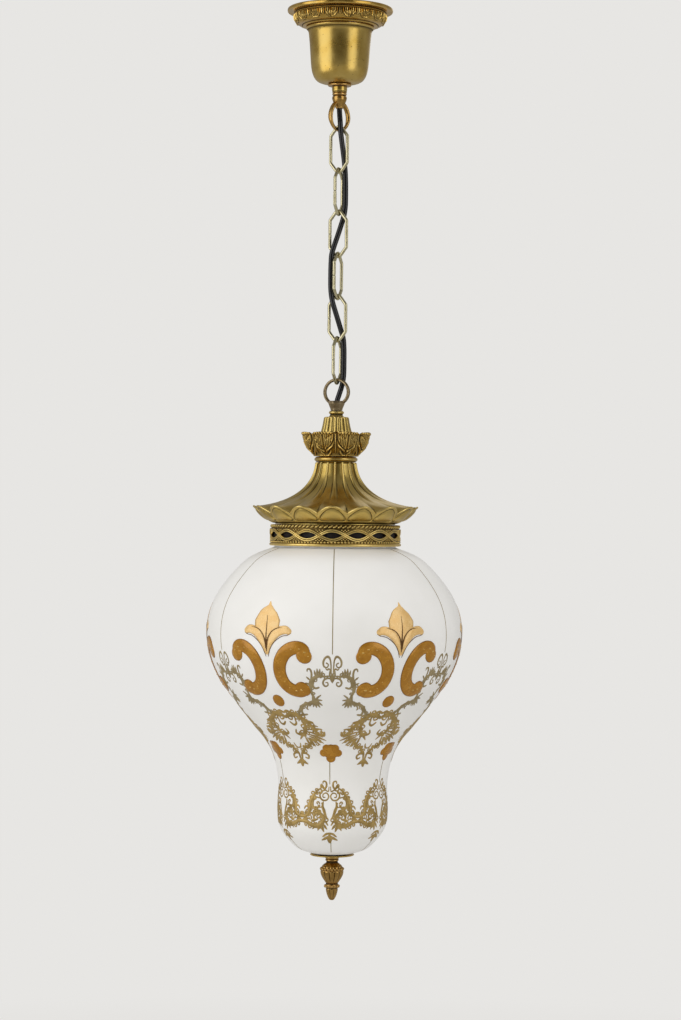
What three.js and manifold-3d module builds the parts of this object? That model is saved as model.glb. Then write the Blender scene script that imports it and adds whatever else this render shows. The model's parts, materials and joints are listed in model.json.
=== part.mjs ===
// Pendant lamp: opal glass shade in a fluted brass head, hung on six links from a ceiling rose.
// Millimetres, +Z up, origin at the centre of the ceiling plane, so every height is negative.
import * as THREE from 'three';
import { mergeVertices } from 'three/addons/utils/BufferGeometryUtils.js';
import Module from 'manifold-3d';

const wasm = await Module();
wasm.setup();

// General fits
const GAP = 0.3; // clearance between pieces that touch
const THREAD_GAP = 0.4; // round a thread in its bore
const PIPE_RADIUS = 5; // hollow threaded pipe
const PIPE_WALL = 1.6;
const FLEX_RADIUS = 2.9;
const CORE_RADIUS = 1.1; // single insulated conductor
const NUT_RADIUS = 8.5; // pipe nut, across its corners
const NUT_HEIGHT = 4;

// Ceiling strap
const STRAP_THICKNESS = 2;
const STRAP_WIDTH = 20;
const STRAP_DROP = 22; // from the ceiling to the top of the low middle
const STRAP_ARM = 14; // length of each flat arm
const STRAP_END_CLEARANCE = 3; // from its corners to the rim's wall
const SLOT_LENGTH = 8.5;
const SLOT_WIDTH = 4.6;

// Ceiling rose
const RIM_RADIUS = 58;
const RIM_BAND_RADIUS = 52.6;
const RIM_EDGE = 4;
const RIM_HEIGHT = 20;
const RIM_LIP_RADIUS = 39.3;
const RIM_SEAT = 4.4; // how far the rim reaches in over the cup's lip
const RIM_WALL = 1.5;
const CUP_LIP_RADIUS = 37.4;
const CUP_TOP_RADIUS = 34;
const CUP_BOTTOM_RADIUS = 31.7;
const CUP_FOOT_RADIUS = 22;
const CUP_HEIGHT = 62.3;
const CUP_FLARE = 9.5;
const CUP_CORNER = 14;
const CUP_WALL = 1.4;
const WASHER_RADIUS = 13;
const WASHER_THICKNESS = 2.4;
const COLLAR_RADIUS = 8.4;
const COLLAR_HEIGHT = 6.7;

// Terminal block on the strap
const TERMINAL_SIZE = new THREE.Vector3(10, 16, 11);

// Top loop
const NECK_RADIUS = 6.8;
const NECK_HEIGHT = 12;
const NOZZLE_RADIUS = 4.4;
const NOZZLE_LENGTH = 5;
const SOCKET_DEPTH = 4; // thread in a casting that takes the pipe
const TOP_LOOP_RADIUS = 16; // outside
const TOP_LOOP_WIRE = 1.9; // radius of the section
const TOP_LOOP_DROP = 26.7; // from the neck's top to the loop's centre
const TOP_LOOP_YAW = 47;
const LOOP_SWELL = 0.6; // how much wider a loop's section gets away from its bearing point

// Chain
const LINK_COUNT = 6;
const LINK_LENGTH = 53.9; // outside
const LINK_WIDTH = 23.3; // outside
const LINK_WIRE = 1.8; // radius
const LINK_END_RADIUS = 4.1; // centre line of the rounded end
const LINK_END_SWEEP = 62; // degrees of arc each side of the tip
const LINK_CORNER = 1.4; // length cut off each bend
const LINK_YAWS = [-23, 66]; // odd links, even links

// Hanging ring and its foot
const RING_RADIUS = 15.5; // outside
const RING_WIRE = 1.8;
const RING_YAW = -20;
const FOOT_TOP_RADIUS = 9.8;
const FOOT_BOTTOM_RADIUS = 6.9;
const FOOT_HEIGHT = 10.6;
const FOOT_OVERLAP = 2.3; // how far the foot rises over the ring's inner bottom
const FOOT_BEAD_RADIUS = 8.3;
const FOOT_BEAD_HEIGHT = 6.5;

// Fluted cap and leaf crown
const CAP_TOP_RADIUS = 13.7;
const CAP_BOTTOM_RADIUS = 17;
const CAP_HEIGHT = 17;
const CAP_SKIRT_RADIUS = 14.5;
const CAP_WALL = 4.5;
const CAP_FLUTES = 16;
const CAP_FLUTE_DEPTH = 1.1;
const CROWN_RADIUS = 40.2;
const CROWN_FOOT_RADIUS = 24.6;
const CROWN_HEIGHT = 26.5;
const CROWN_LEAVES = 8;
const CROWN_TURN = 25.5; // degrees from the front to the nearest leaf
const CROWN_NOTCH = 5; // depth of the dips between leaf tips
const CROWN_WALL = 1.8;
const BEAD_RADIUS = 23.9;
const BEAD_HEIGHT = 6;

// Fluted bell
const BELL_TOP_RADIUS = 21.5;
const BELL_RADIUS = 90.2; // at the petals' tips
const BELL_DEPTH = 49; // top to tips
const PETAL_DEPTH = 19; // tips to foot
const BELL_WALL = 1.6;
const PETALS = 16;
const PETAL_CUT = 8.5; // how far the edge comes in between two petals
const PETAL_DIP = 7; // how far it dips there
const PETAL_TURN = -2.3; // degrees from the front to the nearest petal

// Pierced gallery, its plate and the gasket
const GALLERY_HEIGHT = 23.4;
const GALLERY_WALL = 2.5;
const GALLERY_FLANGE = 1.4;
const GALLERY_SEAT = 3; // how far the bell's foot stands inside the gallery's wall
const ROPE_BULGE = 1.2;
const LIP_HEIGHT = 3;
const EYES = 16;
const EYE_LENGTH = 20;
const EYE_HEIGHT = 7;
const EYE_TURN = -2.6; // degrees from the front to the nearest eye
const PLATE_THICKNESS = 2;
const VENTS = 6;
const VENT_RADIUS = 5;
const VENT_CIRCLE = 44;
const GASKET_THICKNESS = 1.5;

// Glass shade
const GLASS_NECK_RADIUS = 66.5;
const GLASS_NECK_CLEARANCE = 2.5; // to the gallery's wall
const GLASS_SHOULDER_GAP = 1.2; // under the gallery's lip
const GLASS_HEIGHT = 335.7; // shoulder to foot
const BELLY_RADIUS = 139.5;
const WAIST_RADIUS = 60.3;
const GLASS_FOOT_RADIUS = 24;
const GLASS_WALL = 3.5;
const ROD_HOLE_CLEARANCE = 3;

// Disc and finial under the shade
const FELT_THICKNESS = 1;
const FELT_RADIUS = 20;
const DISC_RADIUS = 24.2;
const DISC_THICKNESS = 2.8;
const FINIAL_LENGTH = 48;
const FINIAL_RADIUS = 13.5;
const FINIAL_COLLAR_RADIUS = 7.4;
const FINIAL_BEAD_RADIUS = 9.2;
const FINIAL_LOBES = 12;
const FINIAL_BORE = 15;

// Yoke, rod and lampholders inside the shade
const YOKE_WIDTH = 20;
const YOKE_HEIGHT = 32;
const YOKE_THICKNESS = 3;
const ROD_RADIUS = 3;
const BRACKET_WIDTH = 14;
const BRACKET_THICKNESS = 2;
const BRACKET_OVERHANG = 8; // past the lampholders' centres
const HOLDER_OFFSET = 36;
const HOLDER_RADIUS = 13;
const HOLDER_HEIGHT = 31;
const HOLDER_TOP = 5;
const STUB_RADIUS = 4.8;
const STUB_HEIGHT = 8;
const SHELL_THICKNESS = 0.8;
const SHELL_LENGTH = 20;
const CONTACT_RADIUS = 3;
const CONTACT_THICKNESS = 1.5;
const BULB_CAP_RADIUS = 7;
const BULB_CAP_LENGTH = 24;
const BULB_RADIUS = 22.5;
const BULB_LENGTH = 52; // glass only
const BULB_WALL = 1;

// Facets of a full turn
const LARGE_ROUND = 28;
const MEDIUM_ROUND = 24;
const SMALL_ROUND = 12;

// Finishes
const finish = (color, metalness, roughness) => new THREE.MeshStandardMaterial({ color, metalness, roughness });
const BRASS = finish(0xb58a3c, 1, 0.3);
const CHAIN_BRASS = finish(0xc8b583, 1, 0.35);
const STEEL = finish(0x9a9c9e, 1, 0.45);
const BLACK_PVC = finish(0x0b0b0c, 0, 0.28);
const OPAL = finish(0xe9e6df, 0, 0.32);
const PORCELAIN = finish(0xeceae4, 0, 0.25);
const FELT = finish(0x3a2f28, 0, 0.95);
const CORE_BROWN = finish(0x5a3220, 0, 0.5);
const CORE_BLUE = finish(0x2a4d86, 0, 0.5);
const CLEAR = finish(0xf4efe2, 0, 0.2);

const degrees = THREE.MathUtils.degToRad;
const point = (r, z) => new THREE.Vector2(r, z);

// Solids

// Welds a geometry into a closed solid that faces outwards, without the flat slivers at its poles.
function solid(geometry) {
  const bare = geometry.clone();
  bare.deleteAttribute('normal');
  bare.deleteAttribute('uv');
  const welded = mergeVertices(bare, 1e-4);
  const corners = welded.index.array;
  const places = welded.attributes.position;
  const triangles = [];
  let volume = 0;
  const [a, b, c] = [new THREE.Vector3(), new THREE.Vector3(), new THREE.Vector3()];
  for (let i = 0; i < corners.length; i += 3) {
    const [p, q, r] = corners.slice(i, i + 3);
    if (p === q || q === r || r === p) continue;
    triangles.push(p, q, r);
    a.fromBufferAttribute(places, p);
    b.fromBufferAttribute(places, q);
    c.fromBufferAttribute(places, r);
    volume += a.dot(b.cross(c));
  }
  if (volume < 0) triangles.reverse();
  const vertProperties = Float32Array.from(places.array);
  return new wasm.Manifold(new wasm.Mesh({ numProp: 3, vertProperties, triVerts: Uint32Array.from(triangles) }));
}

function cut(body, ...tools) {
  return tools.reduce((left, tool) => left.subtract(tool), body);
}

function join(...bodies) {
  return bodies.reduce((all, next) => all.add(next));
}

// A profile of [radius, height] points turned about Z.
function turned(profile, segments) {
  return solid(new THREE.LatheGeometry(profile, segments).rotateX(Math.PI / 2));
}

// A profile turned about Z whose points move between a crest and a valley line as the angle changes.
function lobed(crest, valley, lobes, perLobe, turn = 0) {
  const segments = lobes * perLobe;
  const geometry = new THREE.LatheGeometry(crest, segments);
  const places = geometry.attributes.position;
  for (let i = 0; i < places.count; i += 1) {
    const station = Math.floor(i / crest.length);
    const j = i % crest.length;
    const angle = (2 * Math.PI * (station % segments)) / segments;
    const blend = 1 - Math.abs(Math.cos((angle * lobes) / 2));
    const r = THREE.MathUtils.lerp(crest[j].x, valley[j].x, blend);
    const z = THREE.MathUtils.lerp(crest[j].y, valley[j].y, blend);
    places.setXYZ(i, r * Math.sin(angle), z, r * Math.cos(angle));
  }
  return solid(geometry.rotateX(Math.PI / 2).rotateZ(degrees(turn)));
}

// The line at a wall's thickness to the left of a profile.
function offset(profile, wall) {
  const heading = (i) => profile[i + 1].clone().sub(profile[i]).normalize();
  const last = profile.length - 1;
  return profile.map((p, i) => {
    const before = heading(Math.max(i - 1, 0));
    const after = heading(Math.min(i, last - 1));
    const along = before.clone().add(after).normalize();
    const side = point(-along.y, along.x);
    const reach = wall / (-side.x * before.y + side.y * before.x);
    return p.clone().addScaledVector(side, reach);
  });
}

// A thin wall: the profile runs with its inside on the left.
function shell(profile, wall, segments) {
  return turned([...profile, ...offset(profile, wall).reverse(), profile[0]], segments);
}

function cylinder(radius, top, bottom, segments = SMALL_ROUND) {
  const height = top - bottom;
  const geometry = new THREE.CylinderGeometry(radius, radius, height, segments);
  return solid(geometry.rotateX(Math.PI / 2).translate(0, 0, bottom + height / 2));
}

function tube(outer, inner, top, bottom, segments = SMALL_ROUND) {
  const ring = [point(inner, bottom), point(outer, bottom), point(outer, top), point(inner, top), point(inner, bottom)];
  return turned(ring, segments);
}

function block(size, centre) {
  return solid(new THREE.BoxGeometry(size.x, size.y, size.z).translate(centre.x, centre.y, centre.z));
}

// A hexagonal nut with a plain bore.
function nut(radius, bore, top, bottom) {
  return cut(cylinder(radius, top, bottom, 6), cylinder(bore, top + 1, bottom - 1));
}

// A round bar along a curve, with closed ends.
function bar(curve, radius, steps, sides = 6) {
  const section = new THREE.Shape().absarc(0, 0, radius, 0, 2 * Math.PI);
  return solid(new THREE.ExtrudeGeometry(section, { steps, curveSegments: sides / 2, extrudePath: curve }));
}

// A closed line through given stations: a ring of wire gets one section at each of them.
class StationLine extends THREE.Curve {
  constructor(stations) {
    super();
    this.stations = stations;
  }

  getPoint(t, target = new THREE.Vector3()) {
    const count = this.stations.length;
    const place = (((t % 1) + 1) % 1) * count;
    const from = Math.floor(place) % count;
    return target.lerpVectors(this.stations[from], this.stations[(from + 1) % count], place - Math.floor(place));
  }

  getPointAt(t, target) {
    return this.getPoint(t, target);
  }

  getTangentAt(t, target = new THREE.Vector3()) {
    const step = 0.1 / this.stations.length;
    return target.copy(this.getPoint(t + step)).sub(this.getPoint(t - step)).normalize();
  }
}

// Part of a longer curve between two distances along it.
class Stretch extends THREE.Curve {
  constructor(whole, from, to) {
    super();
    Object.assign(this, { whole, from, to });
  }

  getPoint(t, target) {
    return this.whole.getPointAt(THREE.MathUtils.lerp(this.from, this.to, t), target);
  }
}

// A cast loop in the XZ plane. Its section is round where a link bears on it, at the given side,
// and swells along Y towards the other side.
function castLoop(outer, wire, bearing) {
  const geometry = new THREE.TorusGeometry(outer - wire, wire, 8, MEDIUM_ROUND - 4).rotateX(Math.PI / 2);
  const places = geometry.attributes.position;
  for (let i = 0; i < places.count; i += 1) {
    const away = 1 - (bearing * places.getZ(i)) / outer;
    const swell = 1 + LOOP_SWELL * THREE.MathUtils.smoothstep(away, 0.35, 1);
    places.setY(i, places.getY(i) * swell);
  }
  return solid(geometry);
}

// The lamp as a scene graph
const lamp = new THREE.Group();
lamp.name = 'pendant_lamp';

function add(name, body, material) {
  const { numProp, vertProperties, triVerts } = body.getMesh();
  const geometry = new THREE.BufferGeometry();
  const places = new Float32Array((vertProperties.length / numProp) * 3);
  for (let i = 0; i < places.length / 3; i += 1) {
    places.set(vertProperties.subarray(i * numProp, i * numProp + 3), i * 3);
  }
  geometry.setAttribute('position', new THREE.BufferAttribute(places, 3));
  geometry.setIndex(new THREE.BufferAttribute(Uint32Array.from(triVerts), 1));
  geometry.computeVertexNormals();
  const mesh = new THREE.Mesh(geometry, material);
  mesh.name = name;
  lamp.add(mesh);
}

// Heights, from the ceiling down
const pipeBore = PIPE_RADIUS - PIPE_WALL;
const pipeHole = PIPE_RADIUS + THREAD_GAP;
const strapPlateTop = -STRAP_DROP;
const strapPlateBottom = strapPlateTop - STRAP_THICKNESS;
const rimBottom = -RIM_HEIGHT;
const cupTop = rimBottom - GAP;
const cupBottom = cupTop - CUP_HEIGHT;
const washerTop = cupBottom - GAP;
const washerBottom = washerTop - WASHER_THICKNESS;
const collarTop = washerBottom - GAP;
const collarBottom = collarTop - COLLAR_HEIGHT;
const neckTop = collarBottom - GAP;
const nozzleEnd = neckTop - NECK_HEIGHT - NOZZLE_LENGTH;
const topLoopCentre = neckTop - TOP_LOOP_DROP;

const linkTips = LINK_LENGTH / 2 - LINK_WIRE; // from a link's centre to the centre of its end wire
const firstHinge = topLoopCentre - TOP_LOOP_RADIUS + TOP_LOOP_WIRE;
const firstLinkCentre = firstHinge + TOP_LOOP_WIRE + LINK_WIRE + GAP - linkTips;
const linkPitch = 2 * linkTips - 2 * LINK_WIRE - GAP;
const linkCentre = (index) => firstLinkCentre - index * linkPitch;
const hinges = [firstHinge, ...Array.from({ length: LINK_COUNT }, (_, i) => linkCentre(i) - linkTips)];

const ringCentre = hinges[LINK_COUNT] + LINK_WIRE + GAP + 2 * RING_WIRE - RING_RADIUS;
const footTop = ringCentre - RING_RADIUS + 2 * RING_WIRE + FOOT_OVERLAP;
const footBottom = footTop - FOOT_HEIGHT;
const footBeadTop = footBottom - GAP;
const footBeadBottom = footBeadTop - FOOT_BEAD_HEIGHT;
const capTop = footBeadBottom - GAP;
const crownTop = capTop - CAP_HEIGHT;
const crownBottom = crownTop - CROWN_HEIGHT;
const crownFloor = crownBottom + CROWN_WALL;
const beadTop = crownBottom - GAP;
const beadBottom = beadTop - BEAD_HEIGHT;
const bellTop = beadBottom - GAP;
const bellFoot = bellTop - BELL_DEPTH - PETAL_DEPTH;
const galleryTop = bellFoot - GAP;
const galleryBottom = galleryTop - GALLERY_HEIGHT;
const plateTop = galleryTop - GALLERY_FLANGE - GAP;
const plateBottom = plateTop - PLATE_THICKNESS;
const gasketTop = plateBottom - GAP;
const gasketBottom = gasketTop - GASKET_THICKNESS;
const glassRim = gasketBottom - GAP;
const glassShoulder = galleryBottom - GLASS_SHOULDER_GAP;
const glassFoot = glassShoulder - GLASS_HEIGHT;
const feltTop = glassFoot - GAP;
const feltBottom = feltTop - FELT_THICKNESS;
const discTop = feltBottom - GAP;
const discBottom = discTop - DISC_THICKNESS;
const finialTop = discBottom - GAP;

const stemNutTop = plateBottom - GAP;
const stemNutBottom = stemNutTop - NUT_HEIGHT;
const yokeTop = stemNutBottom - GAP;
const yokeBottom = yokeTop - YOKE_HEIGHT;
const bracketTop = yokeBottom - GAP;
const bracketBottom = bracketTop - BRACKET_THICKNESS;
const holderTop = bracketBottom - GAP;
const holderBottom = holderTop - HOLDER_HEIGHT;
const stemTop = footBottom + SOCKET_DEPTH - GAP;
const stemBottom = yokeTop - YOKE_THICKNESS;
const rodTop = yokeBottom + YOKE_THICKNESS + GAP;
const rodBottom = finialTop - FINIAL_BORE + GAP;

// Ceiling strap: a flat bar whose middle hangs low enough for the pipe and the wiring.
function ceilingStrap() {
  const half = STRAP_WIDTH / 2;
  const reach = RIM_BAND_RADIUS - RIM_WALL - STRAP_END_CLEARANCE;
  const tip = Math.sqrt(reach ** 2 - half ** 2);
  const knee = tip - STRAP_ARM;
  const waist = Math.sqrt((CUP_LIP_RADIUS - RIM_SEAT - GAP - 1) ** 2 - half ** 2) - STRAP_THICKNESS - 1;
  const upper = [point(waist, strapPlateTop), point(knee, 0), point(tip, 0)];
  const lower = [
    point(tip, -STRAP_THICKNESS), point(knee + 1, -STRAP_THICKNESS), point(waist + 1, strapPlateBottom),
  ];
  const right = [...upper, ...lower];
  const left = right.map((p) => point(-p.x, p.y)).reverse();
  const side = new THREE.Shape([...right, ...left]);
  const strap = solid(new THREE.ExtrudeGeometry(side, { depth: STRAP_WIDTH, bevelEnabled: false })
    .rotateX(Math.PI / 2).translate(0, half, 0));
  const slots = [-1, 1].map((sign) => {
    const centre = sign * (tip - STRAP_ARM / 2);
    const run = (SLOT_LENGTH - SLOT_WIDTH) / 2;
    const outline = new THREE.Shape()
      .absarc(centre + run, 0, SLOT_WIDTH / 2, -Math.PI / 2, Math.PI / 2)
      .absarc(centre - run, 0, SLOT_WIDTH / 2, Math.PI / 2, 1.5 * Math.PI);
    return solid(new THREE.ExtrudeGeometry(outline, { depth: 3 * STRAP_THICKNESS, bevelEnabled: false, curveSegments: 4 })
      .translate(0, 0, -2 * STRAP_THICKNESS));
  });
  return cut(strap, ...slots, cylinder(pipeHole, strapPlateTop + 1, strapPlateBottom - 1));
}

// Embossed ring that lies against the ceiling, rolled in at its top edge.
function roseRim() {
  const outside = [
    point(CUP_LIP_RADIUS - RIM_SEAT, rimBottom), point(RIM_LIP_RADIUS, rimBottom),
    point(RIM_LIP_RADIUS + 2.5, rimBottom + 2.2), point(RIM_BAND_RADIUS - 3.5, rimBottom + 4.4),
    point(RIM_BAND_RADIUS, rimBottom + 6), point(RIM_BAND_RADIUS, -RIM_EDGE - 1),
    point(RIM_RADIUS - 1, -RIM_EDGE), point(RIM_RADIUS, -RIM_EDGE + 1), point(RIM_RADIUS, 0),
    point(RIM_BAND_RADIUS - RIM_WALL, 0),
  ];
  return shell(outside, RIM_WALL, MEDIUM_ROUND);
}

// Spun cup with a flared lip, open at the top.
function roseCup() {
  const line = new THREE.Path();
  line.moveTo(pipeHole, cupBottom);
  line.lineTo(CUP_FOOT_RADIUS, cupBottom);
  line.quadraticCurveTo(CUP_BOTTOM_RADIUS, cupBottom, CUP_BOTTOM_RADIUS, cupBottom + CUP_CORNER);
  line.lineTo(CUP_TOP_RADIUS, cupTop - CUP_FLARE);
  line.quadraticCurveTo(CUP_TOP_RADIUS + 0.6, cupTop - CUP_FLARE / 2, CUP_LIP_RADIUS, cupTop - 1.2);
  line.lineTo(CUP_LIP_RADIUS, cupTop);
  return shell(line.getPoints(2), CUP_WALL, MEDIUM_ROUND);
}

// Round nut with two turned grooves at its foot.
function neckCollar() {
  const groove = COLLAR_RADIUS - 0.9;
  const line = [
    point(pipeHole, collarBottom), point(groove, collarBottom), point(COLLAR_RADIUS, collarBottom + 1.2),
    point(groove, collarBottom + 2.4), point(COLLAR_RADIUS, collarBottom + 3), point(COLLAR_RADIUS, collarTop),
    point(pipeHole, collarTop), point(pipeHole, collarBottom),
  ];
  return turned(line, SMALL_ROUND + 2);
}

// Cast loop under the collar: a ball neck, the nozzle that the flex leaves by, and the loop.
function topLoop() {
  const ball = neckTop - NECK_HEIGHT * 0.6;
  const neckFoot = neckTop - NECK_HEIGHT;
  const neck = turned([
    point(0, nozzleEnd), point(NOZZLE_RADIUS, nozzleEnd), point(NOZZLE_RADIUS + 0.4, neckFoot),
    point(NECK_RADIUS, ball - 1.5), point(NECK_RADIUS, ball + 1.5), point(NECK_RADIUS - 0.4, neckTop - 2.5),
    point(NECK_RADIUS + 0.5, neckTop - 1.2), point(NECK_RADIUS + 0.3, neckTop), point(0, neckTop),
  ], SMALL_ROUND + 2);
  const loop = castLoop(TOP_LOOP_RADIUS, TOP_LOOP_WIRE, -1).translate([0, 0, topLoopCentre]);
  return cut(
    join(neck, loop.rotate([0, 0, TOP_LOOP_YAW])),
    cylinder(pipeHole, neckTop + 1, neckTop - SOCKET_DEPTH),
    cylinder(pipeBore, neckTop, nozzleEnd - 1),
  );
}

add('ceiling_strap', ceilingStrap(), STEEL);
const strapNutBottom = strapPlateTop + GAP;
const pipeTop = strapNutBottom + NUT_HEIGHT + 2;
add('strap_nut', nut(NUT_RADIUS, pipeHole, strapNutBottom + NUT_HEIGHT, strapNutBottom), STEEL);
add('lock_nut', nut(NUT_RADIUS, pipeHole, strapPlateBottom - GAP, strapPlateBottom - GAP - NUT_HEIGHT), STEEL);
add('hang_pipe', tube(PIPE_RADIUS, pipeBore, pipeTop, neckTop - SOCKET_DEPTH + GAP), STEEL);
add('rose_rim', roseRim(), BRASS);
add('rose_cup', roseCup(), BRASS);
add('seat_washer', tube(WASHER_RADIUS, pipeHole, washerTop, washerBottom, SMALL_ROUND + 4), BRASS);
add('neck_collar', neckCollar(), BRASS);
add('top_loop', topLoop(), BRASS);

// Chain: every link is a bent oval with slanting shoulders, its plane turned against the next one's.
function chainLink(yaw, centre) {
  const sweep = degrees(LINK_END_SWEEP);
  const side = LINK_WIDTH / 2 - LINK_WIRE;
  const arcCentre = linkTips - LINK_END_RADIUS;
  const onArc = (angle) => point(LINK_END_RADIUS * Math.sin(angle), arcCentre + LINK_END_RADIUS * Math.cos(angle));
  const arc = [1, 2, 3].map((i) => onArc((sweep * i) / 3));
  const shoulder = point(Math.cos(sweep), -Math.sin(sweep));
  const bend = arc[2].clone().addScaledVector(shoulder, (side - arc[2].x) / shoulder.x);
  const quarter = [
    ...arc, bend.clone().addScaledVector(shoulder, -LINK_CORNER), point(side, bend.y - LINK_CORNER),
  ];
  const half = [point(0, linkTips), ...quarter, ...quarter.map((p) => point(p.x, -p.y)).reverse()];
  const round = [...half, ...half.map((p) => point(-p.x, -p.y))];
  const line = new StationLine(round.map((p) => new THREE.Vector3(p.x, 0, p.y)));
  const wire = new THREE.TubeGeometry(line, round.length, LINK_WIRE, 6, true);
  return solid(wire.rotateZ(degrees(yaw)).translate(0, 0, centre));
}

for (let i = 0; i < LINK_COUNT; i += 1) {
  add(`chain_link_${i + 1}`, chainLink(LINK_YAWS[i % 2], linkCentre(i)), CHAIN_BRASS);
}

// Flex: its route from the rose, in and out of the links, into the foot and down the stem.
const FLEX_ROUTE = [
  [0, 0, -12], [0, 0, -40], [0, 0, -96], [0, 0, -110], [0.4, -1.9, -117], [1.1, -5.3, -126],
  [1.7, -6.2, -136], [3, -3.8, -146], [4.7, -0.4, -158], [6, 2.1, -168], [7, 3.2, -178],
  [7.5, 3.3, -188], [7.7, 3.4, -202], [7.4, 3.3, -218], [5.9, 3.1, -228], [2.4, 1.3, -240],
  [-0.7, -0.5, -250], [-4, -2.3, -260], [-6.8, -3.3, -270], [-7.5, -3.4, -280], [-7.7, -3.4, -294],
  [-7.4, -3.3, -310], [-5.6, -3, -322], [-2.6, -1.5, -332], [0.6, 0.3, -342], [3.7, 2.1, -352],
  [6.6, 3.2, -362], [7.5, 3.4, -372], [7.7, 3.4, -388], [7.4, 3.3, -404], [5.8, 2.7, -414],
  [2.8, 1.4, -424], [0.5, 0.3, -431.5], [0, 0, -437], [0, 0, -450], [0, 0, -520], [0, 0, -585],
];
const flexLine = new THREE.CatmullRomCurve3(FLEX_ROUTE.map((p) => new THREE.Vector3(...p)));
flexLine.arcLengthDivisions = 2000;

// How far along the flex a height lies: it only ever goes down.
function flexAt(height) {
  let [above, below] = [0, 1];
  for (let i = 0; i < 40; i += 1) {
    const middle = (above + below) / 2;
    if (flexLine.getPointAt(middle).z > height) above = middle;
    else below = middle;
  }
  return above;
}

const flexNames = ['flex_rose', ...Array.from({ length: LINK_COUNT }, (_, i) => `flex_link_${i + 1}`), 'flex_pendant'];
const flexCuts = [0, ...hinges.map(flexAt), 1];
const halfGap = GAP / 2 / flexLine.getLength();
flexNames.forEach((name, i) => {
  const from = flexCuts[i] + (i ? halfGap : 0);
  const to = flexCuts[i + 1] - (i < LINK_COUNT + 1 ? halfGap : 0);
  const steps = Math.ceil(((to - from) * flexLine.getLength()) / (3.2 * FLEX_RADIUS));
  add(name, bar(new Stretch(flexLine, from, to), FLEX_RADIUS, steps), BLACK_PVC);
});

// Terminal block on the strap, with the two cores that leave the flex.
const terminalX = NUT_RADIUS + 1 + TERMINAL_SIZE.x / 2;
const terminalZ = strapPlateTop + GAP + TERMINAL_SIZE.z / 2;
const terminalEntry = [terminalX - TERMINAL_SIZE.x / 4, terminalX + TERMINAL_SIZE.x / 4];
const terminalFace = TERMINAL_SIZE.y / 2;
add('terminal_block', block(TERMINAL_SIZE, new THREE.Vector3(terminalX, 0, terminalZ)), PORCELAIN);

function core(points) {
  return bar(new THREE.CatmullRomCurve3(points.map((p) => new THREE.Vector3(...p))), CORE_RADIUS, 9);
}

const flexTop = FLEX_ROUTE[0][2];
add('lead_live', core([
  [1.4, 0.6, flexTop + 2 * GAP], [1.5, 0.9, flexTop + 3], [2, 3.6, flexTop + 6], [4.4, 8.6, flexTop + 7.4], [8.5, 13.6, flexTop + 6],
  [terminalEntry[0], 16, flexTop + 0.5], [terminalEntry[0], terminalFace + 4.5, terminalZ],
  [terminalEntry[0], terminalFace + GAP, terminalZ],
]), CORE_BROWN);
add('lead_neutral', core([
  [-1.4, 0.6, flexTop + 2 * GAP], [-1.4, 0.9, flexTop + 3], [-0.8, 4.4, flexTop + 6.6], [3, 11.5, flexTop + 8.2], [10, 18, flexTop + 7],
  [terminalEntry[1], 18.5, flexTop + 1], [terminalEntry[1], terminalFace + 5, terminalZ],
  [terminalEntry[1], terminalFace + GAP, terminalZ],
]), CORE_BLUE);

// Hanging ring on a faceted foot, screwed on the stem and bored for the flex.
function hangingRing() {
  const ring = castLoop(RING_RADIUS, RING_WIRE, 1).translate([0, 0, ringCentre]).rotate([0, 0, RING_YAW]);
  const foot = new THREE.CylinderGeometry(FOOT_TOP_RADIUS, FOOT_BOTTOM_RADIUS, FOOT_HEIGHT, 8)
    .rotateX(Math.PI / 2).rotateZ(degrees(22.5)).translate(0, 0, (footTop + footBottom) / 2);
  const mouthDepth = FOOT_HEIGHT - SOCKET_DEPTH - 0.5;
  const mouth = turned([
    point(0, footTop - mouthDepth), point(pipeBore, footTop - mouthDepth),
    point(FLEX_RADIUS + 2.8, footTop), point(FLEX_RADIUS + 2.8, footTop + 5), point(0, footTop + 5),
  ], SMALL_ROUND);
  return cut(
    join(ring, solid(foot)), mouth,
    cylinder(pipeBore, footTop, footBottom), cylinder(pipeHole, footBottom + SOCKET_DEPTH, footBottom - 1),
  );
}

// Turned bead with a groove under it.
function footBead() {
  const waist = FOOT_BEAD_RADIUS - 1.3;
  return turned([
    point(pipeHole, footBeadBottom), point(FOOT_BEAD_RADIUS, footBeadBottom), point(waist, footBeadBottom + 1.2),
    point(waist, footBeadTop - 3.6), point(FOOT_BEAD_RADIUS, footBeadTop - 2.4),
    point(FOOT_BEAD_RADIUS, footBeadTop - 1), point(waist, footBeadTop), point(pipeHole, footBeadTop),
    point(pipeHole, footBeadBottom),
  ], SMALL_ROUND + 2);
}

// Fluted cap on a plain skirt that stands on the crown's floor, open below.
function flutedCap() {
  const skirtEnd = crownFloor + GAP;
  const crest = [
    point(0, skirtEnd), point(CAP_SKIRT_RADIUS, skirtEnd), point(CAP_SKIRT_RADIUS, crownTop - 1),
    point(CAP_BOTTOM_RADIUS, crownTop), point(CAP_BOTTOM_RADIUS - 1.2, crownTop + CAP_HEIGHT / 3),
    point(CAP_TOP_RADIUS, capTop - 1), point(CAP_TOP_RADIUS - 1.4, capTop), point(0, capTop),
  ];
  const depth = [0, 0, 0, CAP_FLUTE_DEPTH, CAP_FLUTE_DEPTH, CAP_FLUTE_DEPTH, 0, 0];
  const valley = crest.map((p, i) => point(p.x - depth[i], p.y));
  const hollow = cylinder(CAP_SKIRT_RADIUS - CAP_WALL, capTop - 2 * CAP_WALL, skirtEnd - 1, SMALL_ROUND);
  return cut(lobed(crest, valley, CAP_FLUTES, 3), hollow, cylinder(pipeHole, capTop + 1, skirtEnd - 1));
}

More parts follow.
